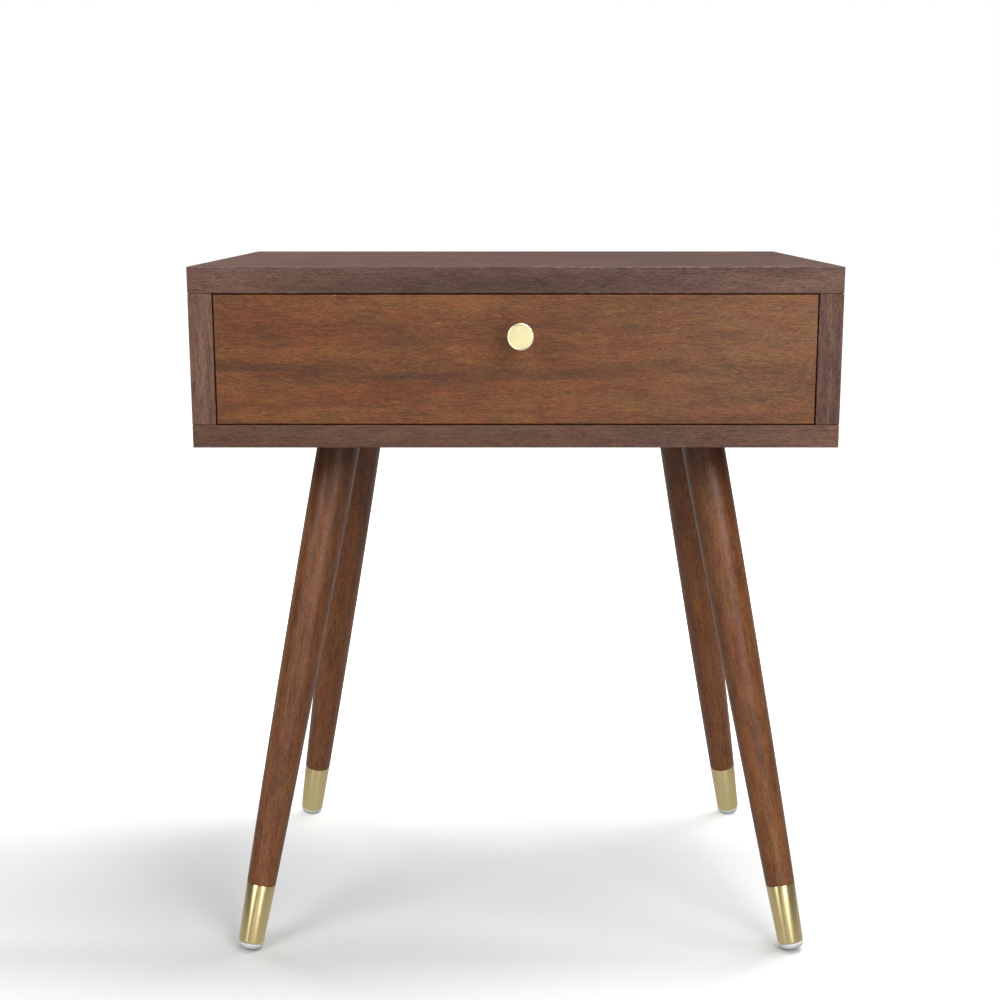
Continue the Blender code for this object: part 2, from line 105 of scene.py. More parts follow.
# Knob: distances run out from the drawer front.
KNOB_RADIUS = 0.0101
KNOB_RIM = 0.0008
KNOB_DISH = 0.0001
KNOB_HEAD_DEPTH = 0.0060
KNOB_STEM_RADIUS = 0.0042
KNOB_BASE_RADIUS = 0.0062
KNOB_BORE_RADIUS = 0.0023
KNOB_BORE_DEPTH = 0.0123
KNOB_FOOT_ROUNDING = 0.0004
KNOB_WAIST_START = 0.0014
KNOB_NECK_RADIUS = 0.0068
KNOB_HEAD_ROUNDING = 0.0010
KNOB_SIDES = 96

# Drawer slides: slot and screw places are shares of a member's length.
SHEET = 0.0010
SLIDE_BEND = 0.0011
BALL_RADIUS = 0.00125
BALL_PITCH = 0.0078
BALLS_IN_ROW = 15
FIRST_BALL = 0.020
CAGE_THICKNESS = 0.0006
CAGE_WIDTH = 0.0040
SLOT_HALF_LENGTH = 0.0045
SLOT_RADIUS = 0.0023
SLOT_PLACES = (0.13, 0.36, 0.64, 0.87)
SLIDE_SCREW_PLACES = (0.06, 0.50, 0.94)

# Screws.
PLATE_SCREW = {"Head Radius": 0.0036, "Head Height": 0.0018, "Shank Radius": 0.0015, "Length": 0.014}
BOX_SCREW = {"Head Radius": 0.0034, "Head Height": 0.0020, "Shank Radius": 0.0015, "Length": 0.024}
CASE_SCREW = {"Head Radius": 0.0046, "Head Height": 0.0030, "Shank Radius": 0.0024, "Length": 0.045}
FRONT_SCREW = {"Head Radius": 0.0042, "Head Height": 0.0019, "Shank Radius": 0.0016, "Length": 0.026}
KNOB_SCREW = {"Head Radius": 0.0042, "Head Height": 0.0022, "Shank Radius": 0.0017, "Length": 0.042}
SLIDE_SCREW = {"Head Radius": 0.0032, "Head Height": 0.0012, "Shank Radius": 0.0013, "Length": 0.010}

CASE_SCREW_INSET = 0.0092
CASE_SCREW_END = 0.040
BOX_SCREW_END = 0.018

# Camera, from the case's front face and top.
CAMERA_BACK = 1.2699
CAMERA_ABOVE_TOP = 0.0520
CAMERA_TILT = math.radians(11.813)
CAMERA_LENS = 59.55
CAMERA_RISE = 0.0426
CAMERA_SLIDE = -0.0158

# Studio: how far the floor is lifted under the case, how much less where the lights reach it, how
# far beyond the legs, and the strength of the surround.
FLOOR_LIFT = 0.20
FLOOR_EVENING = 0.17
FLOOR_CLEAR = 0.52
SURROUND = 0.10


# ---------------------------------------------------------------- node graphs


class Graph:
    """Adds nodes to one node tree and joins them, so a tree reads as a list of steps."""

    def __init__(self, tree):
        self.tree = tree

    def add(self, kind, **settings):
        """A new node with the given settings."""
        node = self.tree.nodes.new(kind)
        for name, value in settings.items():
            setattr(node, name, value)
        return node

    def feed(self, socket, value):
        """Joins another node's output to this socket, or sets the socket's own value."""
        if isinstance(value, bpy.types.NodeSocket):
            self.tree.links.new(value, socket)
        else:
            socket.default_value = value

    def step(self, kind, inputs, output=0, **settings):
        """A node fed by position or by name, giving one of its outputs."""
        node = self.add(kind, **settings)
        pairs = inputs.items() if isinstance(inputs, dict) else enumerate(inputs)
        for key, value in pairs:
            self.feed(node.inputs[key], value)
        return node.outputs[output]

    def math(self, operation, *values):
        """A sum on numbers."""
        return self.step("ShaderNodeMath", values, operation=operation)

    def vector(self, operation, *values, output=0):
        """A sum on vectors. Output 1 is the one that gives a number."""
        return self.step("ShaderNodeVectorMath", values, output, operation=operation)

    def scaled(self, vector, sizes):
        """The vector divided by a size along each axis, for a pattern of that size."""
        return self.vector("DIVIDE", vector, sizes)

    def join(self, x, y, z):
        """A vector from three numbers."""
        return self.step("ShaderNodeCombineXYZ", (x, y, z))

    def split(self, vector):
        """A vector's three numbers."""
        node = self.add("ShaderNodeSeparateXYZ")
        self.feed(node.inputs[0], vector)
        return node.outputs

    def mix(self, factor, first, second, blend="MIX"):
        """Two colours mixed."""
        node = self.add("ShaderNodeMix", data_type="RGBA", blend_type=blend)
        for key, value in ((0, factor), (6, first), (7, second)):
            self.feed(node.inputs[key], value)
        return node.outputs[2]

    def remap(self, value, low, high, to_low=0.0, to_high=1.0):
        """A smooth, clamped change of range."""
        return self.step("ShaderNodeMapRange", (value, low, high, to_low, to_high),
                         interpolation_type="SMOOTHSTEP")

    def noise(self, vector, detail=2.0, roughness=0.5, distortion=0.0, output=0):
        """Noise about one unit across. Output 1 is the one that gives a colour."""
        inputs = {"Vector": vector, "Scale": 1.0, "Detail": detail, "Roughness": roughness,
                  "Distortion": distortion}
        return self.step("ShaderNodeTexNoise", inputs, output)

    def group(self, tree, inputs):
        """A shader group with its inputs set by name. Gives its outputs."""
        node = self.add("ShaderNodeGroup", node_tree=tree)
        for name, value in inputs.items():
            self.feed(node.inputs[name], value)
        return node.outputs

    def object_place(self):
        """The point's place on its object."""
        return self.add("ShaderNodeTexCoord").outputs["Object"]

    def along(self, vector, axis):
        """The vector turned so that the named axis becomes X, the way of the grain."""
        x, y, z = self.split(vector)
        turned = {"X": (x, y, z), "Y": (y, x, z), "Z": (z, x, y)}
        return self.join(*turned[axis])


SOCKET_KINDS = {"vector": "NodeSocketVector", "color": "NodeSocketColor", "float": "NodeSocketFloat",
                "int": "NodeSocketInt", "geometry": "NodeSocketGeometry",
                "material": "NodeSocketMaterial"}


def new_group(name, kind, inputs, outputs):
    """A node group with named sockets. Gives its graph and its input and output sockets."""
    tree = bpy.data.node_groups.new(name, kind)
    for label, socket in inputs:
        tree.interface.new_socket(label, in_out="INPUT", socket_type=SOCKET_KINDS[socket])
    for label, socket in outputs:
        tree.interface.new_socket(label, in_out="OUTPUT", socket_type=SOCKET_KINDS[socket])
    graph = Graph(tree)
    given = graph.add("NodeGroupInput").outputs
    result = graph.add("NodeGroupOutput").inputs
    return graph, given, result


# ---------------------------------------------------------------- shader groups


def stained_wood_group():
    """Open-grained stained wood, its grain along the vector's X, cut from one solid pattern."""
    inputs = [("Vector", "vector"), ("Light", "color"), ("Dark", "color"), ("Pore Stain", "color"),
              ("Red", "color"), ("Gold", "color"), ("Figure", "float"), ("Figure Width", "float"),
              ("Mottle", "float"), ("Streak", "float"), ("Fibre", "float"), ("Growth Line", "float"),
              ("Ring Width", "float"), ("Pore", "float"), ("Fleck", "float"), ("Seed", "float")]
    outputs = [("Color", "color"), ("Roughness", "float"), ("Height", "float")]
    graph, given, result = new_group("stained_wood", "ShaderNodeTree", inputs, outputs)
    # Each board is cut from its own part of the pattern, whose grain drifts from side to side.
    seed = given["Seed"]
    shift = graph.join(graph.math("MULTIPLY", seed, 0.731), graph.math("MULTIPLY", seed, 0.417),
                       graph.math("MULTIPLY", seed, 0.593))
    start = graph.vector("ADD", given["Vector"], shift)
    drift = graph.noise(graph.scaled(start, (0.150, 0.032, 0.032)), detail=2, output=1)
    drift = graph.vector("MULTIPLY", graph.vector("SUBTRACT", drift, (0.5, 0.5, 0.5)),
                         (0.0, 0.010, 0.010))
    place = graph.vector("ADD", start, drift)

    # Tone from broad to fine: figure, clouds, streaks and fibres, each from -1 to 1.
    wide = graph.join(0.180, given["Figure Width"], given["Figure Width"])
    figure = graph.remap(graph.noise(graph.scaled(place, wide), detail=3), 0.32, 0.68, -1, 1)
    clouds = graph.noise(graph.scaled(place, (0.030, 0.0075, 0.0075)), detail=4, roughness=0.6,
                         output=1)
    cloud, other_cloud, third_cloud = graph.split(clouds)
    mottle = graph.remap(cloud, 0.30, 0.70, -1, 1)
    warmth = graph.remap(other_cloud, 0.36, 0.64)
    streak = graph.remap(graph.noise(graph.scaled(place, (0.016, 0.0017, 0.0017)), detail=3,
                                     roughness=0.65), 0.30, 0.70, -1, 1)
    fibre = graph.remap(graph.noise(graph.scaled(place, (0.0048, 0.00070, 0.00070)), detail=2,
                                    roughness=0.6), 0.30, 0.70, -1, 1)

    # Growth lines round a heart that lies beside the board, broken up by the clouds.
    across = graph.vector("MULTIPLY", graph.vector("ADD", place, (0.0, 0.047, 0.081)), (0, 1, 1))
    rings = graph.math("FRACT", graph.math("DIVIDE", graph.vector("LENGTH", across, output=1),
                                           given["Ring Width"]))
    line = graph.math("MULTIPLY", graph.remap(rings, 0.62, 0.95), graph.remap(rings, 1.0, 0.96))
    line = graph.math("MULTIPLY", line, graph.remap(third_cloud, 0.42, 0.60))

    # Dark pores and pale flecks, both short dashes along the grain.
    dashes = graph.noise(graph.scaled(place, (0.0034, 0.00042, 0.00042)), detail=1)
    crowding = graph.remap(third_cloud, 0.35, 0.65, 0.030, -0.035)
    pore = graph.remap(graph.math("ADD", dashes, crowding), 0.580, 0.680)
    ticks = graph.noise(graph.scaled(graph.vector("ADD", place, (0.3, 0.2, 0.1)),
                                     (0.0038, 0.00046, 0.00046)), detail=1)
    fleck = graph.math("MULTIPLY", graph.remap(ticks, 0.560, 0.690),
                       graph.remap(cloud, 0.30, 0.60, 0.3, 1.0))

    # Colour, then sheen and relief: pores are dull and sunk.
    tone = graph.math("MULTIPLY_ADD", figure, given["Figure"], 0.5)
    tone = graph.math("MULTIPLY_ADD", mottle, given["Mottle"], tone)
    tone = graph.math("MULTIPLY_ADD", streak, given["Streak"], tone)
    tone = graph.math("MULTIPLY_ADD", fibre, given["Fibre"], tone)
    tone = graph.math("SUBTRACT", tone, graph.math("MULTIPLY", line, given["Growth Line"]))
    color = graph.mix(graph.math("MAXIMUM", graph.math("MINIMUM", tone, 1.0), 0.0),
                      given["Dark"], given["Light"])
    color = graph.mix(1.0, color, graph.mix(warmth, given["Gold"], given["Red"]), "MULTIPLY")
    color = graph.mix(graph.math("MULTIPLY", pore, given["Pore"]), color, given["Pore Stain"])
    pale = graph.mix(1.0, given["Light"], (1.7, 1.9, 2.2, 1.0), "MULTIPLY")
    color = graph.mix(graph.math("MULTIPLY", fleck, given["Fleck"]), color, pale)
    graph.feed(result["Color"], color)

    rough = graph.math("MULTIPLY_ADD", streak, 0.05, 0.44)
    graph.feed(result["Roughness"], graph.math("MULTIPLY_ADD", pore, 0.20, rough))
    height = graph.math("MULTIPLY_ADD", streak, 0.12, 0.6)
    height = graph.math("MULTIPLY_ADD", fibre, 0.14, height)
    height = graph.math("SUBTRACT", height, graph.math("MULTIPLY", pore, 0.5))
    graph.feed(result["Height"], graph.math("SUBTRACT", height, graph.math("MULTIPLY", line, 0.12)))
    return graph.tree


def edge_wear_group():
    """How near a board's arris a point lies, and where that arris is rubbed."""
    inputs = [("Vector", "vector"), ("Low", "vector"), ("High", "vector"), ("Width", "float"),
              ("Seed", "float")]
    outputs = [("Near", "float"), ("Rubbed", "float")]
    graph, given, result = new_group("edge_wear", "ShaderNodeTree", inputs, outputs)
    inwards = graph.vector("MINIMUM", graph.vector("SUBTRACT", given["Vector"], given["Low"]),
                           graph.vector("SUBTRACT", given["High"], given["Vector"]))
    x, y, z = graph.split(inwards)
    second = graph.math("MAXIMUM", graph.math("MINIMUM", x, y),
                        graph.math("MINIMUM", graph.math("MAXIMUM", x, y), z))
    graph.feed(result["Near"], graph.remap(second, given["Width"], 0.0))
    nibble = graph.noise(graph.scaled(given["Vector"], (0.007, 0.007, 0.007)), detail=4)
    moved = graph.vector("ADD", given["Vector"], graph.join(given["Seed"], 0.0, 0.0))
    stretch = graph.noise(graph.scaled(moved, (0.085, 0.085, 0.085)), detail=1)
    reach = graph.math("MULTIPLY", graph.remap(nibble, 0.35, 0.70),
                       graph.math("MULTIPLY", given["Width"], graph.remap(stretch, 0.38, 0.62)))
    graph.feed(result["Rubbed"], graph.remap(graph.math("SUBTRACT", second, reach), 0.0002, -0.0002))
    return graph.tree


def handling_group():
    """Faint smears from hands and cloths, and the odd speck of dust."""
    inputs = [("Vector", "vector"), ("Seed", "float")]
    outputs = [("Smear", "float"), ("Dust", "float")]
    graph, given, result = new_group("handling", "ShaderNodeTree", inputs, outputs)
    shift = graph.join(given["Seed"], 0.0, 0.0)
    place = graph.vector("ADD", given["Vector"], shift)
    smear = graph.noise(graph.scaled(place, (0.090, 0.060, 0.060)), detail=4, roughness=0.6,
                        distortion=0.8)
    graph.feed(result["Smear"], graph.remap(smear, 0.35, 0.70))
    specks = graph.noise(graph.scaled(place, (0.0012, 0.0012, 0.0012)), detail=0)
    graph.feed(result["Dust"], graph.remap(specks, 0.78, 0.86))
    return graph.tree


def smudge_group():
    """A soft patch on a board: a centre, its half lengths, and how far it slopes along X."""
    inputs = [("Vector", "vector"), ("Centre", "vector"), ("Half Size", "vector"), ("Slope", "float")]
    graph, given, result = new_group("smudge", "ShaderNodeTree", inputs, [("Mask", "float")])
    ragged = graph.noise(graph.scaled(given["Vector"], (0.040, 0.040, 0.0045)), detail=3, output=1)
    ragged = graph.vector("MULTIPLY", graph.vector("SUBTRACT", ragged, (0.5, 0.5, 0.5)),
                          (0.045, 0.0, 0.0065))
    away = graph.vector("SUBTRACT", graph.vector("ADD", given["Vector"], ragged), given["Centre"])
    x, _, z = graph.split(away)
    level = graph.math("SUBTRACT", z, graph.math("MULTIPLY", x, given["Slope"]))
    spread = graph.vector("DIVIDE", graph.join(x, 0.0, level), given["Half Size"])
    graph.feed(result["Mask"], graph.remap(graph.vector("LENGTH", spread, output=1), 1.25, 0.15))
    return graph.tree


def turned_metal_group():
    """Satin metal polished on a lathe: fine rings across the vector's X, with tarnish and rubs."""
    inputs = [("Vector", "vector"), ("Pitch", "float")]
    outputs = [("Line", "float"), ("Tarnish", "float"), ("Scratch", "float")]
    graph, given, result = new_group("turned_metal", "ShaderNodeTree", inputs, outputs)
    around = graph.join(given["Pitch"], 0.030, 0.030)
    lines = graph.noise(graph.scaled(given["Vector"], around), detail=3, roughness=0.7)
    graph.feed(result["Line"], graph.remap(lines, 0.25, 0.75))
    stain = graph.noise(graph.scaled(given["Vector"], (0.011, 0.009, 0.009)), detail=4,
                        roughness=0.6, distortion=0.4)
    graph.feed(result["Tarnish"], graph.remap(stain, 0.42, 0.74))
    nick = graph.noise(graph.scaled(given["Vector"], (0.0090, 0.00035, 0.00035)), detail=1)
    graph.feed(result["Scratch"], graph.remap(nick, 0.68, 0.76))
    return graph.tree


# ---------------------------------------------------------------- materials


def new_material(name):
    """An empty material and its graph."""
    material = bpy.data.materials.new(name)
    material.use_nodes = True
    material.node_tree.nodes.clear()
    return material, Graph(material.node_tree)


def surface(graph, color, roughness, height, bump, **settings):
    """Ends a material: a Principled shader with a bump of the given depth, and set values."""
    raised = graph.step("ShaderNodeBump", {"Height": height, "Distance": bump, "Strength": 1.0})
    inputs = {"Base Color": color, "Roughness": roughness, "Normal": raised}
    inputs.update({name.replace("_", " ").title().replace("Ior", "IOR"): value
                   for name, value in settings.items()})
    shader = graph.step("ShaderNodeBsdfPrincipled", inputs)
    output = graph.add("ShaderNodeOutputMaterial")
    graph.feed(output.inputs["Surface"], shader)


# The stained wood group's inputs for each kind of board.
CASE_LOOK = {"Light": (0.190, 0.098, 0.068, 1), "Dark": (0.088, 0.041, 0.029, 1),
             "Pore Stain": (0.032, 0.015, 0.011, 1), "Red": (1.04, 0.95, 0.93, 1),
             "Gold": (0.98, 1.02, 0.98, 1), "Figure": 0.16, "Figure Width": 0.020, "Mottle": 0.14,
             "Streak": 0.26, "Fibre": 0.28, "Growth Line": 0.16, "Ring Width": 0.0042, "Pore": 0.45,
             "Fleck": 0.26}
SIDE_LOOK = dict(CASE_LOOK, **{"Light": (0.215, 0.110, 0.076, 1), "Dark": (0.090, 0.042, 0.030, 1),
                               "Streak": 0.34, "Figure": 0.26, "Figure Width": 0.0060})
BASE_LOOK = dict(CASE_LOOK, **{"Light": (0.190, 0.092, 0.060, 1), "Dark": (0.090, 0.040, 0.026, 1)})
FRONT_LOOK = {"Light": (0.258, 0.090, 0.024, 1), "Dark": (0.108, 0.036, 0.010, 1),
              "Pore Stain": (0.066, 0.025, 0.011, 1), "Red": (1.04, 0.89, 0.92, 1),
              "Gold": (0.98, 1.05, 0.94, 1), "Figure": 0.12, "Figure Width": 0.016, "Mottle": 0.16,
              "Streak": 0.26, "Fibre": 0.30, "Growth Line": 0.10, "Ring Width": 0.0050, "Pore": 0.36,
              "Fleck": 0.50}
LEG_LOOK = {"Light": (0.330, 0.118, 0.036, 1), "Dark": (0.098, 0.030, 0.009, 1),
            "Pore Stain": (0.042, 0.016, 0.008, 1), "Red": (1.00, 0.90, 0.88, 1),
            "Gold": (0.98, 1.06, 1.00, 1), "Figure": 0.14, "Figure Width": 0.011, "Mottle": 0.16,
            "Streak": 0.20, "Fibre": 0.24, "Growth Line": 0.12, "Ring Width": 0.0031, "Pore": 0.42,
            "Fleck": 0.26}
BACK_LOOK = {"Light": (0.125, 0.068, 0.042, 1), "Dark": (0.058, 0.028, 0.017, 1),
             "Pore Stain": (0.022, 0.010, 0.006, 1), "Red": (1.00, 0.94, 0.94, 1),
             "Gold": (0.98, 1.02, 0.98, 1), "Figure": 0.22, "Figure Width": 0.030, "Mottle": 0.16,
             "Streak": 0.20, "Fibre": 0.16, "Growth Line": 0.12, "Ring Width": 0.0070, "Pore": 0.45,
             "Fleck": 0.05}
BOX_LOOK = {"Light": (0.600, 0.430, 0.265, 1), "Dark": (0.420, 0.270, 0.145, 1),
            "Pore Stain": (0.250, 0.140, 0.070, 1), "Red": (1.00, 0.96, 0.92, 1),
            "Gold": (1.00, 1.00, 0.97, 1), "Figure": 0.22, "Figure Width": 0.014, "Mottle": 0.10,
            "Streak": 0.16, "Fibre": 0.12, "Growth Line": 0.30, "Ring Width": 0.0036, "Pore": 0.22,
            "Fleck": 0.05}
FLOOR_PLY_LOOK = dict(BOX_LOOK, **{"Light": (0.640, 0.480, 0.310, 1), "Figure Width": 0.034,
                                   "Growth Line": 0.22, "Ring Width": 0.0090})

# Tints for the patches. grey and pale are painted sheen, deep is painted shade; dark, gold and red are the
# wood's own tones.
TINTS = {"dark": (0.55, 0.58, 0.66, 1), "gold": (1.16, 1.24, 1.18, 1), "red": (1.05, 0.90, 0.86, 1),
         "painted_sheen": (1.12, 1.34, 1.80, 1), "painted_shade": (0.62, 0.60, 0.62, 1), "pale": (1.45, 1.50, 1.50, 1)}

# Patches of other tints: tint, strength, centre (x, z), half lengths (x, z), slope along X.
# The top's front edge: painted shade in its middle, painted sheen at both ends. Its top face: painted
# shade over the right and a painted sheen over all.
TOP_PATCHES = [("painted_shade", 0.75, (-0.020, 0.5500), (0.200, 0.0150), 0.0),
               ("pale", 0.60, (-0.240, 0.5570), (0.080, 0.0150), 0.0),
               ("pale", 0.75, (0.225, 0.5560), (0.110, 0.0150), 0.0),
               ("painted_shade", 0.90, (0.300, 0.5690), (0.420, 0.0070), 0.0),
               ("painted_sheen", 0.40, (-0.150, 0.5690), (0.600, 0.0070), 0.0)]
# A painted sheen at the right end of the bottom board's front edge.
BASE_PATCHES = [("pale", 0.80, (0.245, 0.4370), (0.075, 0.0150), 0.0)]
# A painted sheen on the left side's front edge.
LEFT_PATCHES = [("pale", 0.75, (-0.241, 0.5100), (0.030, 0.0800), 0.0)]
FRONT_PATCHES = [("dark", 0.80, (-0.205, 0.4915), (0.130, 0.0062), -0.050),
                 ("dark", 0.72, (-0.040, 0.4840), (0.130, 0.0052), 0.020),
                 ("dark", 0.42, (0.090, 0.4900), (0.090, 0.0070), 0.040),
                 ("dark", 0.35, (0.010, 0.5260), (0.070, 0.0100), 0.000),
                 ("gold", 0.80, (-0.030, 0.5385), (0.130, 0.0085), -0.020),
                 ("gold", 0.60, (-0.070, 0.5010), (0.120, 0.0060), -0.020),
                 ("gold", 0.55, (-0.170, 0.4530), (0.090, 0.0080), 0.010),
                 ("gold", 0.60, (0.020, 0.4600), (0.120, 0.0100), 0.020),
                 ("red", 0.80, (-0.180, 0.5180), (0.080, 0.0160), -0.080),
                 ("dark", 0.40, (-0.180, 0.5150), (0.022, 0.0110), 0.600),
                 ("red", 0.60, (-0.100, 0.4700), (0.120, 0.0100), 0.020),
                 # Painted sheen towards the front's right end.
                 ("painted_sheen", 0.95, (0.210, 0.5120), (0.150, 0.0420), 0.0),
                 ("painted_sheen", 0.45, (0.180, 0.4650), (0.120, 0.0280), -0.040),
                 ("pale", 0.45, (0.255, 0.5300), (0.110, 0.0300), 0.0),
                 ("dark", 0.80, (-0.218, 0.4488), (0.016, 0.0022), 0.0)]


# A crook in the drawer front's grain: its place and size (x, z), and how far it bends the grain.
CROOK_PLACE = (0.1254, 0.5060)
CROOK_SIZE = (0.0230, 0.0100)
CROOK_DEPTH = 0.0056

# Heights on the legs between which a painted shade, standing for the case's shadow, deepens.
LEG_SHADE_LOW = 0.385
LEG_SHADE_HIGH = 0.428


def patched(graph, color, place, patches, groups):
    """Soft patches of other tints laid over a board's colour: the wood's own tones, and painted sheen and
    painted shade.
    """
    for tint, strength, centre, half_size, slope in patches:
        where = {"Vector": place, "Centre": (centre[0], 0, centre[1]),
                 "Half Size": (half_size[0], 1, half_size[1]), "Slope": slope}
        mask = graph.group(groups["smudge"], where)["Mask"]
        stained = graph.mix(1.0, color, TINTS[tint], "MULTIPLY")
        color = graph.mix(graph.math("MULTIPLY", mask, strength), color, stained)
    return color


def board_material(node, look, axis, seed, wear, patches, groups):
    """A board's wood, with its arrises rubbed paler and smears in its sheen."""
    material, graph = new_material(node + "_finish")
    place = graph.object_place()
    wood = graph.group(groups["wood"], {"Vector": graph.along(place, axis), "Seed": seed, **look})
    low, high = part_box(node)
    edge = graph.group(groups["edge"], {"Vector": place, "Low": low, "High": high, "Width": 0.0011,
                                        "Seed": seed})
    marks = graph.group(groups["handling"], {"Vector": place, "Seed": seed})
    rubbed = graph.mix(1.0, look["Light"], (1.45, 1.50, 1.55, 1), "MULTIPLY")
    color = patched(graph, wood["Color"], place, patches, groups)
    color = graph.mix(graph.math("MULTIPLY", edge["Rubbed"], wear), color, rubbed)
    color = graph.mix(graph.math("MULTIPLY", marks["Dust"], 0.10), color, (0.5, 0.47, 0.44, 1))
    rough = graph.math("MULTIPLY_ADD", marks["Smear"], 0.07, wood["Roughness"])
    surface(graph, color, rough, wood["Height"], 0.00016, specular_ior_level=0.35)
    return material


def bump_shape(graph, offset, width):
    """A smooth hump, 1 where the offset is 0 and fading over the width."""
    share = graph.math("DIVIDE", offset, width)
    return graph.math("POWER", math.e, graph.math("MULTIPLY", graph.math("MULTIPLY", share, share), -1))


def front_material(node, groups):
    """The drawer front: a warmer board with a dark heart band, gold patches, a painted sheen at its right
    end, and edge chips.
    """
    material, graph = new_material("drawer_front_walnut")
    place = graph.object_place()
    low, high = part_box(node)
    x, _, z = graph.split(place)
    sideways = bump_shape(graph, graph.math("SUBTRACT", x, CROOK_PLACE[0]), CROOK_SIZE[0])
    upwards = bump_shape(graph, graph.math("SUBTRACT", z, CROOK_PLACE[1]), CROOK_SIZE[1])
    dip = graph.math("MULTIPLY", graph.math("MULTIPLY", sideways, upwards), -CROOK_DEPTH)
    bent = graph.vector("ADD", place, graph.join(0.0, 0.0, dip))
    wood = graph.group(groups["wood"], {"Vector": bent, "Seed": 3.7, **FRONT_LOOK})
    color = patched(graph, wood["Color"], place, FRONT_PATCHES, groups)
    line = {"Vector": bent, "Centre": (0.128, 0, 0.5040), "Half Size": (0.060, 1, 0.0010), "Slope": -0.006}
    thin = graph.group(groups["smudge"], line)["Mask"]
    color = graph.mix(graph.math("MULTIPLY", thin, 0.5), color, FRONT_LOOK["Dark"])

    edge = graph.group(groups["edge"], {"Vector": place, "Low": low, "High": high, "Width": 0.0012,
                                        "Seed": 0.0})
    chips = graph.noise(graph.scaled(place, (0.0035, 0.0035, 0.0016)), detail=3)
    chipped = graph.math("MULTIPLY", graph.remap(chips, 0.69, 0.72), edge["Near"])
    color = graph.mix(graph.math("MULTIPLY", edge["Rubbed"], 0.35), color, FRONT_LOOK["Light"])
    color = graph.mix(chipped, color, (0.52, 0.45, 0.38, 1))
    marks = graph.group(groups["handling"], {"Vector": place, "Seed": 1.3})
    rough = graph.math("MULTIPLY_ADD", marks["Smear"], 0.07, wood["Roughness"])
    surface(graph, color, rough, wood["Height"], 0.00014, specular_ior_level=0.45)
    return material


def leg_material(groups):
    """Turned wood under a satin lacquer, its grain along each leg, with painted shade darkening it near
    the top, under the case.
    """
    material, graph = new_material("turned_leg_walnut")
    place = graph.step("ShaderNodeAttribute", (), "Vector", attribute_name="along_leg")
    wood = graph.group(groups["wood"], {"Vector": place, "Seed": 5.1, **LEG_LOOK})
    marks = graph.group(groups["handling"], {"Vector": place, "Seed": 2.2})
    lacquered = graph.math("SUBTRACT", wood["Roughness"], 0.10)
    rough = graph.math("MULTIPLY_ADD", marks["Smear"], 0.06, lacquered)
    color = graph.mix(graph.math("MULTIPLY", marks["Dust"], 0.08), wood["Color"], (0.5, 0.45, 0.4, 1))
    # Painted shade: darker towards the top of each leg, where the case above shades it.
    height = graph.split(graph.object_place())[2]
    color = graph.mix(graph.remap(height, LEG_SHADE_LOW, LEG_SHADE_HIGH), color, TINTS["painted_shade"], "MULTIPLY")
    surface(graph, color, rough, wood["Height"], 0.00012, specular_ior_level=0.50)
    return material


def brass_material(name, attribute, color, pitch, roughness, groups, rim=1.0, **settings):
    """Satin brass with turning lines round its own axis, a little tarnish and fine nicks.

    Outside the rim's radius its colour is lifted brighter: a painted highlight for a polished rim.
    """
    material, graph = new_material(name)
    place = graph.step("ShaderNodeAttribute", (), "Vector", attribute_name=attribute)
    metal = graph.group(groups["metal"], {"Vector": place, "Pitch": pitch})
    darker = tuple(0.95 * part for part in color[:3]) + (1,)
    tone = graph.mix(metal["Line"], darker, color)
    tone = graph.mix(graph.math("MULTIPLY", metal["Tarnish"], 0.12), tone, (0.62, 0.45, 0.20, 1))
    tone = graph.mix(graph.math("MULTIPLY", metal["Scratch"], 0.12), tone, (0.95, 0.86, 0.60, 1))
    # Painted highlight: the rim's colour is lifted where its shine would be.
    across = graph.vector("MULTIPLY", place, (0, 1, 1))
    rim_highlight = graph.remap(graph.vector("LENGTH", across, output=1), rim - 0.0002, rim + 0.0002)
    tone = graph.mix(rim_highlight, tone, (0.98, 0.93, 0.66, 1))
    rough = graph.math("MULTIPLY_ADD", metal["Line"], -0.03, roughness + 0.015)
    rough = graph.math("MULTIPLY_ADD", metal["Tarnish"], 0.03, rough)
    surface(graph, tone, rough, metal["Line"], 0.0000015, metallic=1.0, **settings)
    return material


def steel_material(name, axis, groups, tint=(0.60, 0.61, 0.62, 1), roughness=0.30):
    """Zinc-plated steel: rolling lines along one axis, dull plating clouds and scuffs."""
    material, graph = new_material(name)
    place = graph.object_place()
    long_way = {"X": (0.050, 0.0004, 0.0004), "Y": (0.0004, 0.050, 0.0004), "Z": (0.0004, 0.0004, 0.050)}
    lines = graph.noise(graph.scaled(place, long_way[axis]), detail=3, roughness=0.7)
    lines = graph.remap(lines, 0.25, 0.75)
    clouds = graph.remap(graph.noise(graph.scaled(place, (0.012, 0.012, 0.012)), detail=4), 0.35, 0.70)
    marks = graph.group(groups["handling"], {"Vector": place, "Seed": 4.4})
    color = graph.mix(clouds, tint, (tint[0] * 0.78, tint[1] * 0.80, tint[2] * 0.84, 1))
    color = graph.mix(graph.math("MULTIPLY", marks["Dust"], 0.3), color, (0.30, 0.29, 0.27, 1))
    rough = graph.math("MULTIPLY_ADD", lines, 0.08, roughness)
    rough = graph.math("MULTIPLY_ADD", clouds, 0.10, rough)
    surface(graph, color, rough, lines, 0.00002, metallic=1.0)
    return material


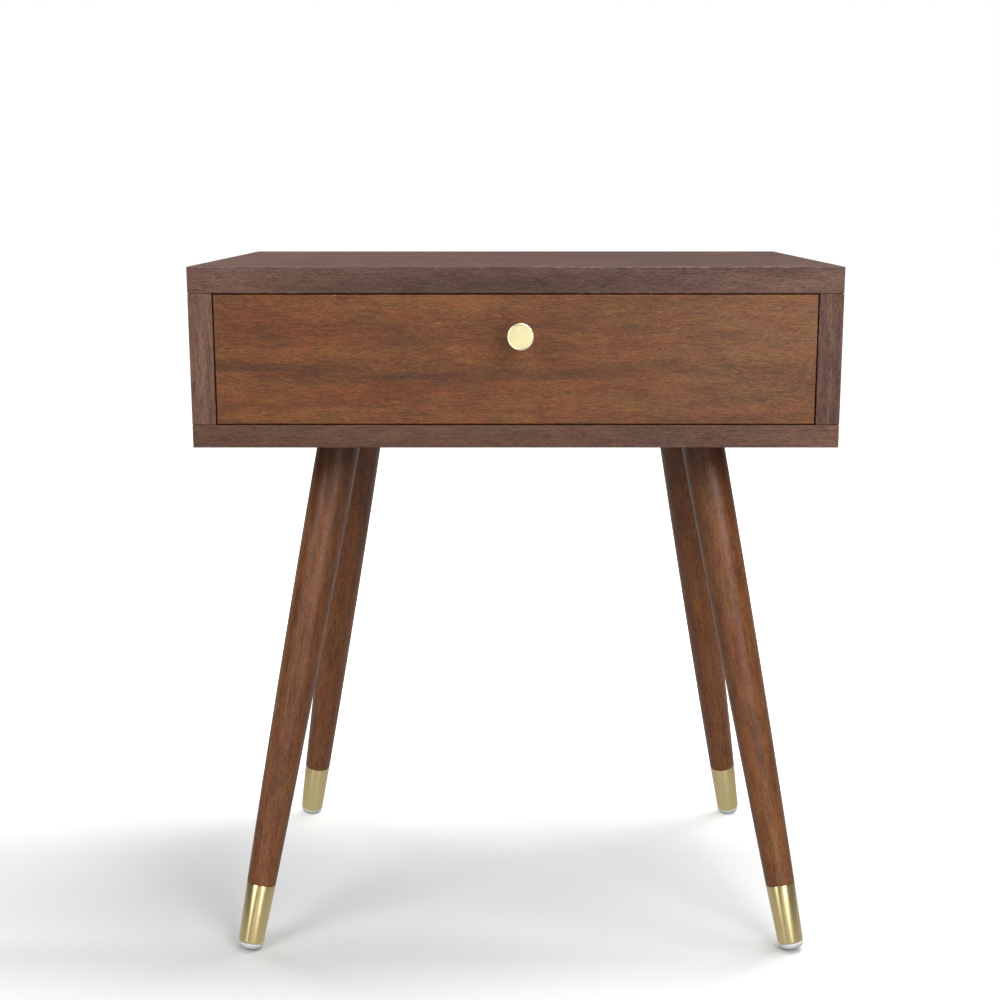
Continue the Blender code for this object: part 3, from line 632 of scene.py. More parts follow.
def nylon_material(groups):
    """Moulded white nylon with a fine grain, darker and browner in grainy specks towards the bottom."""
    material, graph = new_material("white_nylon_moulding")
    place = graph.object_place()
    grain = graph.noise(graph.scaled(place, (0.0007, 0.0007, 0.0007)), detail=2)
    marks = graph.group(groups["handling"], {"Vector": place, "Seed": 6.1})
    # Darker towards the bottom, in grainy specks.
    height = graph.split(place)[2]
    low = graph.remap(height, 0.0035, 0.0)
    darker_low = graph.math("MULTIPLY", low, graph.remap(grain, 0.45, 0.75))
    color = graph.mix(graph.math("MULTIPLY", darker_low, 0.35), (0.90, 0.90, 0.89, 1), (0.50, 0.47, 0.43, 1))
    rough = graph.math("MULTIPLY_ADD", marks["Smear"], 0.15, 0.38)
    surface(graph, color, rough, grain, 0.00003, subsurface_weight=0.15,
            subsurface_radius=(0.004, 0.004, 0.004))
    return material


def make_materials(groups):
    """The materials that more than one piece wears, by name."""
    return {"leg": leg_material(groups),
            "ferrule": brass_material("satin_ferrule_brass", "along_ferrule", (0.86, 0.70, 0.35, 1),
                                      0.00040, 0.30, groups, anisotropic=0.75,
                                      anisotropic_rotation=0.25),
            "knob": brass_material("satin_knob_brass", "along_knob", (0.95, 0.84, 0.48, 1),
                                   0.00050, 0.34, groups, rim=KNOB_RADIUS - 0.0012),
            "nylon": nylon_material(groups),
            "zinc": steel_material("zinc_plated_steel", "X", groups),
            "runner": steel_material("rolled_slide_steel", "Y", groups, roughness=0.34),
            "ball": steel_material("polished_ball_steel", "Y", groups, (0.72, 0.72, 0.73, 1), 0.12),
            "cage": steel_material("yellow_zinc_cage", "Y", groups, (0.60, 0.55, 0.38, 1), 0.36)}


# ---------------------------------------------------------------- mesh makers


def finished_object(name, shape, material, angle=35.0):
    """An object at the origin from a bmesh, smooth but for edges sharper than the angle."""
    bmesh.ops.remove_doubles(shape, verts=shape.verts, dist=1e-7)
    bmesh.ops.recalc_face_normals(shape, faces=shape.faces)
    mesh = bpy.data.meshes.new(name)
    shape.to_mesh(mesh)
    shape.free()
    mesh.shade_smooth()
    mesh.set_sharp_from_angle(angle=math.radians(angle))
    mesh.materials.append(material)
    piece = bpy.data.objects.new(name, mesh)
    bpy.context.scene.collection.objects.link(piece)
    return piece


def turn(shape, outline, sides, place, grain=None, closed=False):
    """Turns a (radius, distance) outline about Z into the shape, then puts it in its place.

    grain is a vector layer that keeps each point's (distance, x, y) from before the placing.
    """
    rings = []
    for radius, distance in outline:
        count = 1 if radius == 0 else sides
        ring = []
        for side in range(count):
            angle = 2 * math.pi * side / sides
            local = Vector((radius * math.cos(angle), radius * math.sin(angle), distance))
            vertex = shape.verts.new(place @ local)
            if grain:
                vertex[grain] = Vector((local.z, local.x, local.y))
            ring.append(vertex)
        rings.append(ring)
    pairs = list(zip(rings, rings[1:]))
    if closed:
        pairs.append((rings[-1], rings[0]))
    for lower, upper in pairs:
        for side in range(sides):
            corners = []
            for ring, step in ((lower, 0), (lower, 1), (upper, 1), (upper, 0)):
                vertex = ring[(side + step) % len(ring)]
                if vertex not in corners:
                    corners.append(vertex)
            if len(corners) > 2:
                shape.faces.new(corners)


def fillet(path, radius, steps=4):
    """A (x, z) path with its inner corners rounded to a radius."""
    rounded = [path[0]]
    for before, corner, after in zip(path, path[1:], path[2:]):
        back, on = (before - corner).normalized(), (after - corner).normalized()
        half = back.angle(on) / 2
        start = corner + back * radius / math.tan(half)
        end = corner + on * radius / math.tan(half)
        middle = corner + (back + on).normalized() * radius / math.sin(half)
        for step in range(steps + 1):
            spoke = (start - middle).lerp(end - middle, step / steps).normalized()
            rounded.append(middle + spoke * radius)
    rounded.append(path[-1])
    return rounded


def rolled_strip(shape, path, thickness, start_y, end_y):
    """A bent strip of sheet: a (x, z) centreline given its thickness and run along Y."""
    left, right = [], []
    for index, point in enumerate(path):
        before = path[max(index - 1, 0)]
        after = path[min(index + 1, len(path) - 1)]
        way = (after - before).normalized()
        normal = Vector((-way.y, way.x)) * thickness / 2
        left.append(point + normal)
        right.append(point - normal)
    outline = left + right[::-1]
    ends = [[shape.verts.new((x, y, z)) for x, z in outline] for y in (start_y, end_y)]
    count = len(outline)
    for index in range(count):
        after = (index + 1) % count
        shape.faces.new((ends[0][index], ends[0][after], ends[1][after], ends[1][index]))
    strips = len(left)
    for ring in ends:
        for index in range(strips - 1):
            far = count - 1 - index
            shape.faces.new((ring[index], ring[index + 1], ring[far - 1], ring[far]))


def slab(shape, low, high, bevel):
    """A block between two corners with its edges rounded."""
    block = bmesh.ops.create_cube(shape, size=1)
    middle = (Vector(low) + Vector(high)) / 2
    size = Vector(high) - Vector(low)
    bmesh.ops.scale(shape, vec=size, verts=block["verts"])
    bmesh.ops.translate(shape, vec=middle, verts=block["verts"])
    edges = list({edge for vertex in block["verts"] for edge in vertex.link_edges})
    bmesh.ops.bevel(shape, geom=edges, offset=bevel, segments=2, affect="EDGES", profile=0.5)


def cut_slots(piece, places, half_length, radius, depth):
    """Cuts round-ended slots through a strip, along Y, at the given places."""
    shape = bmesh.new()
    for place in places:
        across = Matrix.Translation(place) @ Matrix.Rotation(math.pi / 2, 4, "Y")
        slot = bmesh.ops.create_cone(shape, cap_ends=True, segments=24, radius1=radius,
                                     radius2=radius, depth=depth, matrix=across)
        for vertex in slot["verts"]:
            vertex.co.y += math.copysign(half_length, vertex.co.y - place.y)
    mesh = bpy.data.meshes.new("slots")
    shape.to_mesh(mesh)
    shape.free()
    cutter = bpy.data.objects.new("slots", mesh)
    bpy.context.scene.collection.objects.link(cutter)
    boolean = piece.modifiers.new("slots", "BOOLEAN")
    boolean.solver = "EXACT"
    boolean.object = cutter
    piece = made_plain(piece)
    bpy.data.objects.remove(cutter)
    piece.data.shade_smooth()
    piece.data.set_sharp_from_angle(angle=math.radians(35))
    return piece


def made_plain(piece):
    """Swaps an object's mesh for what its modifiers make of it, and removes them."""
    evaluated = piece.evaluated_get(bpy.context.evaluated_depsgraph_get())
    mesh = bpy.data.meshes.new_from_object(evaluated)
    mesh.name = piece.name
    piece.modifiers.clear()
    piece.data = mesh
    return piece


# ---------------------------------------------------------------- geometry node trees


def frustum(graph, top, bottom, depth, low_z, sides=20):
    """A capped cone between two radii, its lower end at low_z."""
    mesh = graph.step("GeometryNodeMeshCone", {"Vertices": sides, "Radius Top": top,
                                               "Radius Bottom": bottom, "Depth": depth})
    return graph.step("GeometryNodeTransform", {0: mesh, "Translation": graph.join(0, 0, low_z)})


def screw_head(graph, given, proud_height, sunk_height):
    """A head, part sunk and part proud of z = 0, with a cross recess cut into it."""
    overlap = 1e-5
    sunk_depth = graph.math("ADD", sunk_height, overlap)
    sunk = frustum(graph, given["Head Radius"], given["Shank Radius"], sunk_depth,
                   graph.math("MULTIPLY", sunk_depth, -1.0))
    skirt_height = graph.math("MULTIPLY", proud_height, 0.55)
    crown_height = graph.math("SUBTRACT", proud_height, skirt_height)
    brim = graph.math("MULTIPLY", given["Head Radius"], 0.93)
    skirt = frustum(graph, brim, given["Head Radius"], graph.math("ADD", skirt_height, overlap), 0.0)
    crown = frustum(graph, graph.math("MULTIPLY", given["Head Radius"], 0.70), brim,
                    graph.math("ADD", crown_height, overlap), skirt_height)
    head = graph.add("GeometryNodeMeshBoolean", operation="UNION", solver="EXACT")
    for part in (crown, skirt, sunk):
        graph.tree.links.new(part, head.inputs[1])
    arm = graph.math("MULTIPLY", given["Head Radius"], 1.12)
    wing = graph.math("MULTIPLY", given["Head Radius"], 0.17)
    recess_depth = graph.math("MULTIPLY", given["Head Height"], 1.1)
    recessed = graph.add("GeometryNodeMeshBoolean", operation="DIFFERENCE", solver="EXACT")
    graph.tree.links.new(head.outputs[0], recessed.inputs[0])
    for size in (graph.join(arm, wing, recess_depth), graph.join(wing, arm, recess_depth)):
        bar = graph.step("GeometryNodeMeshCube", {"Size": size})
        raised = {0: bar, "Translation": graph.join(0, 0, proud_height)}
        graph.tree.links.new(graph.step("GeometryNodeTransform", raised), recessed.inputs[1])
    return recessed.outputs[0]


def screw_shank(graph, given, sunk_height):
    """The shank below a head, its point, and a thread wound round it. Gives the three parts."""
    point_length = graph.math("MULTIPLY", given["Shank Radius"], 2.4)
    below_head = graph.math("SUBTRACT", given["Length"], sunk_height)
    shank_length = graph.math("SUBTRACT", below_head, point_length)
    shank_low = graph.math("SUBTRACT", point_length, given["Length"])
    shank = frustum(graph, given["Shank Radius"], given["Shank Radius"], shank_length, shank_low, 14)
    point = frustum(graph, given["Shank Radius"], 0.0, point_length,
                    graph.math("MULTIPLY", given["Length"], -1.0), 14)
    pitch = graph.math("MULTIPLY", given["Shank Radius"], 0.95)
    thread_length = graph.math("MULTIPLY", shank_length, 0.80)
    turns = graph.math("DIVIDE", thread_length, pitch)
    spiral = graph.step("GeometryNodeCurveSpiral", {"Resolution": 12, "Rotations": turns,
                                                    "Start Radius": given["Shank Radius"],
                                                    "End Radius": given["Shank Radius"],
                                                    "Height": thread_length})
    profile = graph.step("GeometryNodeCurvePrimitiveCircle", {"Resolution": 3, "Radius": 0.00026})
    thread = graph.step("GeometryNodeCurveToMesh", {"Curve": spiral, "Profile Curve": profile,
                                                    "Fill Caps": True})
    placed = {0: thread, "Translation": graph.join(0, 0, shank_low)}
    return graph.step("GeometryNodeTransform", placed), point, shank


def screw_turn(graph, given):
    """Each screw's turn: its head the way the point faces, its recess at any angle."""
    facing = graph.step("GeometryNodeInputNamedAttribute", {"Name": "facing"}, data_type="FLOAT_VECTOR")
    turned = graph.step("FunctionNodeAlignRotationToVector", {"Vector": facing}, axis="Z")
    twist = graph.add("FunctionNodeRandomValue", data_type="FLOAT")
    for key, value in (("Max", math.pi), ("Seed", given["Seed"])):
        socket = [s for s in twist.inputs if s.name == key and s.enabled][0]
        graph.feed(socket, value)
    twist_value = [s for s in twist.outputs if s.enabled][0]
    spin = graph.step("FunctionNodeAxisAngleToRotation", {"Axis": (0, 0, 1), "Angle": twist_value})
    return graph.step("FunctionNodeRotateRotation", (turned, spin), rotation_space="LOCAL")


def screw_tree():
    """A threaded screw with a cross recess, set at each point with its head facing outwards."""
    inputs = [("Geometry", "geometry"), ("Head Radius", "float"), ("Head Height", "float"),
              ("Shank Radius", "float"), ("Length", "float"), ("Proud", "float"), ("Seed", "int"),
              ("Steel", "material")]
    outputs = [("Geometry", "geometry")]
    graph, given, result = new_group("set_screws", "GeometryNodeTree", inputs, outputs)
    proud_height = graph.math("MULTIPLY", given["Head Height"], given["Proud"])
    sunk_height = graph.math("SUBTRACT", given["Head Height"], proud_height)
    screw = graph.add("GeometryNodeJoinGeometry")
    head = screw_head(graph, given, proud_height, sunk_height)
    for part in (*screw_shank(graph, given, sunk_height), head):
        graph.tree.links.new(part, screw.inputs[0])
    placed = graph.step("GeometryNodeInstanceOnPoints", {"Points": given["Geometry"],
                                                         "Instance": screw.outputs[0],
                                                         "Rotation": screw_turn(graph, given)})
    real = graph.step("GeometryNodeRealizeInstances", {0: placed})
    plated = graph.step("GeometryNodeSetMaterial", {0: real, "Material": given["Steel"]})
    graph.feed(result["Geometry"], plated)
    return graph.tree


def ball_tree():
    """Rows of steel balls, each row starting at a point and running along Y."""
    inputs = [("Geometry", "geometry"), ("Ball Radius", "float"), ("Pitch", "float"),
              ("Balls In Row", "int"), ("Steel", "material")]
    outputs = [("Geometry", "geometry")]
    graph, given, result = new_group("ball_rows", "GeometryNodeTree", inputs, outputs)
    ball = graph.step("GeometryNodeMeshUVSphere", {"Segments": 10, "Rings": 6,
                                                   "Radius": given["Ball Radius"]})
    ball = graph.step("GeometryNodeSetShadeSmooth", {0: ball})
    row = graph.step("GeometryNodeMeshLine", {"Count": given["Balls In Row"],
                                              "Offset": graph.join(0, given["Pitch"], 0)})
    balls = graph.step("GeometryNodeInstanceOnPoints", {"Points": row, "Instance": ball})
    rows = graph.step("GeometryNodeInstanceOnPoints", {"Points": given["Geometry"], "Instance": balls})
    real = graph.step("GeometryNodeRealizeInstances", {0: rows})
    rim_highlight = graph.step("GeometryNodeSetMaterial", {0: real, "Material": given["Steel"]})
    graph.feed(result["Geometry"], rim_highlight)
    return graph.tree


def grown(name, tree, points, values, facing=None):
    """A plain mesh of what a geometry tree makes at some points, with its inputs set by name."""
    mesh = bpy.data.meshes.new(name)
    mesh.from_pydata(points, [], [])
    if facing:
        layer = mesh.attributes.new("facing", "FLOAT_VECTOR", "POINT")
        for item, way in zip(layer.data, facing):
            item.vector = way
    piece = bpy.data.objects.new(name, mesh)
    bpy.context.scene.collection.objects.link(piece)
    modifier = piece.modifiers.new(name, "NODES")
    modifier.node_group = tree
    for item in tree.interface.items_tree:
        if item.in_out == "INPUT" and item.name in values:
            modifier[item.identifier] = values[item.name]
    return made_plain(piece)


# ---------------------------------------------------------------- pieces


def leg_radius(down):
    """Leg radius at a distance down its axis: full above, slimming faster towards the foot."""
    return LEG_TOP_RADIUS - LEG_SLIMMING * (down / LEG_SLIMMING_SPAN) ** LEG_CURVE


def leg_axes(record):
    """Each corner's name, its glide's face centre and the way up its leg."""
    for mount in record["mounts"]:
        if mount["name"].endswith("_foot"):
            corner = mount["name"][:-len("_foot")]
            yield corner, Vector(mount["pos_m"]), -Vector(mount["axis"]).normalized()


def corner_arc(centre_radius, centre_distance, size, start, end, steps=4):
    """Outline points round a quarter of a small circle, angles in degrees from outwards."""
    points = []
    for step in range(steps + 1):
        angle = math.radians(start + (end - start) * step / steps)
        points.append((centre_radius + size * math.cos(angle), centre_distance + size * math.sin(angle)))
    return points


def ferrule_mouth(length):
    """The ferrule's outer radius at its upper end, level with the leg above it."""
    return leg_radius(length - FERRULE_HIGH)


def make_leg(corner, number, place, length, material):
    """A turned leg, bored for its bolt and for the glide's nail, its foot reduced to fit the ferrule."""
    shape = bmesh.new()
    grain = shape.verts.layers.float_vector.new("along_leg")
    top = length - LEG_STANDOFF
    bore_end = length - HANGER_BORE_END
    outline = [(0, bore_end), (HANGER_BORE_RADIUS, bore_end), (HANGER_BORE_RADIUS, top)]
    outline += reversed(corner_arc(LEG_TOP_RADIUS - LEG_ROUNDING, top - LEG_ROUNDING, LEG_ROUNDING, 0, 90))
    start, end = top - LEG_ROUNDING, FERRULE_HIGH + GAP
    for ring in range(1, LEG_RINGS + 1):
        distance = start + (end - start) * ring / LEG_RINGS
        outline.append((leg_radius(length - distance), distance))
    spigot_end = FERRULE_LOW + FERRULE_WALL + GAP
    nail_end = GLIDE_THICKNESS + NAIL_LENGTH + GAP
    outline += [(ferrule_mouth(length) - FERRULE_WALL - GAP, end), (FERRULE_INSIDE_LOW - GAP, spigot_end),
                (NAIL_HOLE, spigot_end), (NAIL_HOLE, nail_end), (0, nail_end)]
    turn(shape, outline, LEG_SIDES, place, grain)
    for vertex in shape.verts:
        vertex[grain] += Vector((0.9 * number, 0.05 * number, 0.02 * number))
    leg = finished_object(f"{corner}_turned_leg", shape, material)
    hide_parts(f"{corner}_leg")
    return leg


def make_ferrule(corner, place, length, material):
    """A spun brass cup with a rounded foot, closed below but for the nail's hole."""
    shape = bmesh.new()
    grain = shape.verts.layers.float_vector.new("along_ferrule")
    mouth = ferrule_mouth(length)
    outline = [(mouth - FERRULE_WALL, FERRULE_HIGH)]
    outline += reversed(corner_arc(mouth - FERRULE_LIP, FERRULE_HIGH - FERRULE_LIP, FERRULE_LIP, 0, 90, 2))
    outline += corner_arc(FERRULE_FOOT_RADIUS - FERRULE_ROUNDING, FERRULE_LOW + FERRULE_ROUNDING,
                          FERRULE_ROUNDING, 0, -90, 6)
    outline += [(NAIL_HOLE, FERRULE_LOW), (NAIL_HOLE, FERRULE_LOW + FERRULE_WALL),
                (FERRULE_INSIDE_LOW, FERRULE_LOW + FERRULE_WALL)]
    turn(shape, outline, LEG_SIDES, place, grain, closed=True)
    ferrule = finished_object(f"{corner}_brass_ferrule", shape, material)
    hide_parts(f"{corner}_ferrule")
    return ferrule


def make_glide(corner, place, material):
    """A moulded glide with its nail, its edge drawn in towards a flat face."""
    shape = bmesh.new()
    top = GLIDE_THICKNESS
    side_end = GLIDE_THICKNESS * 0.65
    outline = [(0, top + NAIL_LENGTH), (NAIL_RADIUS * 0.5, top + NAIL_LENGTH - 0.001),
               (NAIL_RADIUS, top + NAIL_LENGTH - 0.003), (NAIL_RADIUS, top)]
    outline += reversed(corner_arc(GLIDE_RADIUS - GLIDE_LIP, top - GLIDE_LIP, GLIDE_LIP, 0, 90, 2))
    outline += [(GLIDE_RADIUS, side_end), (GLIDE_RADIUS - 0.0004, side_end - 0.0011),
                (GLIDE_RADIUS - 0.0012, side_end - 0.0023), (GLIDE_FLAT_RADIUS, 0), (0, 0)]
    turn(shape, outline, LEG_SIDES, place)
    glide = finished_object(f"{corner}_nylon_glide", shape, material, 50)
    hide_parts(f"{corner}_glide")
    return glide


def build_legs(record, underside, materials):
    """Each leg with its ferrule and glide, turned about the leg's own axis. Gives the corners' names."""
    corners = []
    for number, (corner, foot, up) in enumerate(leg_axes(record)):
        length = (underside - foot.z) / up.z
        place = Matrix.Translation(foot) @ up.to_track_quat("Z", "Y").to_matrix().to_4x4()
        leg = make_leg(corner, number, place, length, materials["leg"])
        ferrule = make_ferrule(corner, place, length, materials["ferrule"])
        glide = make_glide(corner, place, materials["nylon"])
        for piece, slot in ((leg, "leg_wood"), (ferrule, "brass"), (glide, "white_nylon")):
            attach(piece, "case")
        corners.append(corner)
    return corners


def build_knob(materials):
    """A small mushroom knob: a flat face inside a polished rim, its shine a painted highlight, on a
    waisted stem.
    """
    low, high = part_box("knob")
    reach = high.y - low.y + GAP
    neck = reach - KNOB_HEAD_DEPTH
    face_radius = KNOB_RADIUS - 2 * KNOB_RIM
    outline = [(0, KNOB_BORE_DEPTH), (KNOB_BORE_RADIUS, KNOB_BORE_DEPTH), (KNOB_BORE_RADIUS, GAP)]
    foot_radius = KNOB_BASE_RADIUS - KNOB_FOOT_ROUNDING
    outline += corner_arc(foot_radius, GAP + KNOB_FOOT_ROUNDING, KNOB_FOOT_ROUNDING, -90, 0, 3)
    waist = 14
    for step in range(waist + 1):
        share = step / waist
        flare = (abs(2 * share - 1)) ** 3
        end = foot_radius if share < 0.5 else KNOB_NECK_RADIUS
        radius = KNOB_STEM_RADIUS + (end - KNOB_STEM_RADIUS) * flare
        outline.append((radius, KNOB_WAIST_START + (neck - KNOB_WAIST_START) * share))
    outline += corner_arc(KNOB_RADIUS - KNOB_HEAD_ROUNDING, neck + KNOB_HEAD_ROUNDING,
                          KNOB_HEAD_ROUNDING, -80, 0, 5)
    outline += corner_arc(KNOB_RADIUS - KNOB_RIM, reach - KNOB_RIM, KNOB_RIM, 0, 125, 9)
    outline += [(face_radius + 0.0001, reach - KNOB_DISH), (face_radius - 0.0008, reach - KNOB_DISH),
                (0, reach - KNOB_DISH)]
    middle = (low + high) / 2
    place = Matrix.Translation((middle.x, high.y + GAP, middle.z)) @ Matrix.Rotation(math.pi / 2, 4, "X")
    shape = bmesh.new()
    grain = shape.verts.layers.float_vector.new("along_knob")
    turn(shape, outline, KNOB_SIDES, place, grain)
    knob = finished_object("turned_brass_knob", shape, materials["knob"], 40)
    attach(knob, "drawer")
    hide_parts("knob")


def screws(name, body, tree, heads, sizes, proud, material, replaced=()):
    """Screws of one size on one body. heads is a list of (head centre, way it faces)."""
    points = [tuple(point) for point, way in heads]
    ways = [way for point, way in heads]
    values = dict(sizes, **{"Proud": proud, "Seed": len(heads), "Steel": material})
    piece = grown(name, tree, points, values, ways)
    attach(piece, body)
    if replaced:
        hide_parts(*replaced)


def build_screws(corners, tree, materials):
    """Every screw that shows but the slides': leg plates, case, drawer box, drawer front and knob."""
    steel = materials["zinc"]
    down = Vector((0, 0, -1))
    names = [f"{corner}_plate_screw_{number}" for corner in corners for number in (1, 2, 3, 4)]
    heads = []
    for name in names:
        low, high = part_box(name)
        heads.append((Vector(((low.x + high.x) / 2, (low.y + high.y) / 2, low.z)), down))
    screws("leg_plate_screws", "case", tree, heads, PLATE_SCREW, 0.0, steel, names)

    low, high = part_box("bottom_panel")
    rows = (low.x + CASE_SCREW_INSET, high.x - CASE_SCREW_INSET)
    spots = (low.y + CASE_SCREW_END, (low.y + high.y) / 2, high.y - CASE_SCREW_END)
    heads = [(Vector((x, y, low.z)), down) for x in rows for y in spots]
    screws("case_screws", "case", tree, heads, CASE_SCREW, 0.0, steel)

    left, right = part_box("drawer_left_side"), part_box("drawer_right_side")
    wall = left[1].x - left[0].x
    heads = []
    for x, way in ((left[0].x, -1), (right[1].x, 1)):
        for y in (left[0].y + wall / 2, left[1].y - wall / 2):
            for z in (left[0].z + BOX_SCREW_END, left[1].z - BOX_SCREW_END):
                heads.append((Vector((x, y, z)), Vector((way, 0, 0))))
    screws("drawer_box_screws", "drawer", tree, heads, BOX_SCREW, 0.0, steel)

    inwards = Vector((0, 1, 0))
    heads = []
    for name in ("left_front_screw", "right_front_screw", "knob_screw"):
        low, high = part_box(name)
        heads.append((Vector(((low.x + high.x) / 2, 0, (low.z + high.z) / 2)), inwards))
    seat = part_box("drawer_box_front")[1].y + GAP
    for point, way in heads:
        point.y = seat
    screws("drawer_front_screws", "drawer", tree, heads[:2], FRONT_SCREW, 1.0, steel,
           ("left_front_screw", "right_front_screw"))
    screws("knob_fixing_screw", "drawer", tree, heads[2:], KNOB_SCREW, 1.0, steel, ("knob_screw",))


def slide_paths():
    """Centrelines of the three slide members as (distance from the panel, height) points."""
    def mirrored(upper):
        """A path with its mirror image below the slide's middle."""
        return [Vector(point) for point in upper] + [Vector((x, -z)) for x, z in reversed(upper)]
    return {"case": mirrored([(0.0087, 0.0154), (0.0087, 0.0170), (0.0008, 0.0170)]),
            "middle": mirrored([(0.0097, 0.0134), (0.0034, 0.0134)]),
            "drawer": mirrored([(0.0064, 0.0114), (0.0064, 0.0098), (0.0119, 0.0098)])}


def build_slides(trees, materials):
    """Rolled steel members with slots and screws, and the balls and cages between them."""
    bodies = {"case": "case", "drawer": "drawer"}
    for side, hand in (("left", -1), ("right", 1)):
        panel_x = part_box("left_side_panel")[1].x if hand < 0 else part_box("right_side_panel")[0].x
        bodies["middle"] = f"{side}_slide_middle"
        for role, path in slide_paths().items():
            node = f"{side}_slide_{role}_member"
            low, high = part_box(node)
            height = (low.z + high.z) / 2
            placed = [Vector((panel_x - hand * x, z + height)) for x, z in fillet(path, SLIDE_BEND)]
            shape = bmesh.new()
            rolled_strip(shape, placed, SHEET, low.y, high.y)
            member = finished_object(f"{side}_{role}_runner", shape, materials["runner"], 30)
            web_x = panel_x - hand * path[len(path) // 2].x
            slots = [Vector((web_x, low.y + share * (high.y - low.y), height)) for share in SLOT_PLACES]
            member = cut_slots(member, slots, SLOT_HALF_LENGTH, SLOT_RADIUS, 3 * SHEET)
            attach(member, bodies[role])
            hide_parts(node)
            if role == "middle":
                build_balls(side, hand, panel_x, low, height, trees["balls"], materials)
            else:
                way = Vector((-hand if role == "case" else hand, 0, 0))
                face_x = web_x + way.x * SHEET / 2
                heads = [(Vector((face_x, low.y + share * (high.y - low.y), height)), way)
                         for share in SLIDE_SCREW_PLACES]
                screws(f"{side}_{role}_runner_screws", bodies[role], trees["screws"], heads,
                       SLIDE_SCREW, 1.0, materials["zinc"])


def build_balls(side, hand, panel_x, low, height, tree, materials):
    """The balls between the members and the thin cages that space them."""
    start_y = low.y + FIRST_BALL
    rows = [(0.0060, 0.0152), (0.0060, -0.0152), (0.0083, 0.0116), (0.0083, -0.0116)]
    points = [(panel_x - hand * x, start_y, height + z) for x, z in rows]
    values = {"Ball Radius": BALL_RADIUS, "Pitch": BALL_PITCH, "Balls In Row": BALLS_IN_ROW,
              "Steel": materials["ball"]}
    balls = grown(f"{side}_runner_balls", tree, points, values)
    shape = bmesh.new()
    for x, y, z in points:
        half = Vector((CAGE_WIDTH / 2, 0, CAGE_THICKNESS / 2))
        first = Vector((x, y - BALL_PITCH, z)) - half
        last = Vector((x, y + BALL_PITCH * BALLS_IN_ROW, z)) + half
        slab(shape, first, last, CAGE_THICKNESS * 0.3)
    cages = finished_object(f"{side}_ball_cages", shape, materials["cage"])
    for piece in (balls, cages):
        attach(piece, f"{side}_slide_middle")


# ---------------------------------------------------------------- finishes, light and camera


def finish_boards(frame, groups, materials):
    """Gives every board, plate and bolt that is kept from the frame its finish."""
    boards = {"top_panel": (CASE_LOOK, "X", 0.4, 0.8, TOP_PATCHES),
              "bottom_panel": (BASE_LOOK, "X", 1.9, 0.35, BASE_PATCHES),
              "left_side_panel": (SIDE_LOOK, "Z", 2.6, 0.4, LEFT_PATCHES),
              "right_side_panel": (SIDE_LOOK, "Z", 3.3, 0.4, []),
              "back_panel": (BACK_LOOK, "X", 4.2, 0.3, []),
              "drawer_box_front": (BOX_LOOK, "X", 5.5, 0.3, []),
              "drawer_back": (BOX_LOOK, "X", 6.3, 0.3, []),
              "drawer_left_side": (BOX_LOOK, "Y", 7.1, 0.3, []),
              "drawer_right_side": (BOX_LOOK, "Y", 8.4, 0.3, []),
              "drawer_bottom": (FLOOR_PLY_LOOK, "X", 9.2, 0.0, [])}
    finishes = {}
    for name, (look, grain_axis, seed, wear, patches) in boards.items():
        finishes[name] = board_material(name, look, grain_axis, seed, wear, patches, groups)
    finishes["drawer_front"] = front_material("drawer_front", groups)
    for name, node in frame["nodes"].items():
        if node.hide_render:
            continue
        for slot in node.material_slots:
            slot.link = "OBJECT"
            slot.material = finishes.get(name, materials["zinc"])


def area_light(name, power, size, place, target, mirrored=True):
    """A soft rectangular light at a place, facing a target. Size is (width, height).

    One that isn't mirrored lights surfaces without a shine of its own.
    """
    data = bpy.data.lights.new(name, "AREA")
    data.shape = "RECTANGLE"
    data.size, data.size_y = size
    data.energy = power
    light = bpy.data.objects.new(name, data)
    light.visible_glossy = mirrored
    light.matrix_world = Matrix.Translation(place) @ (Vector(target) - Vector(place)).to_track_quat(
        "-Z", "Y").to_matrix().to_4x4()
    bpy.context.scene.collection.objects.link(light)


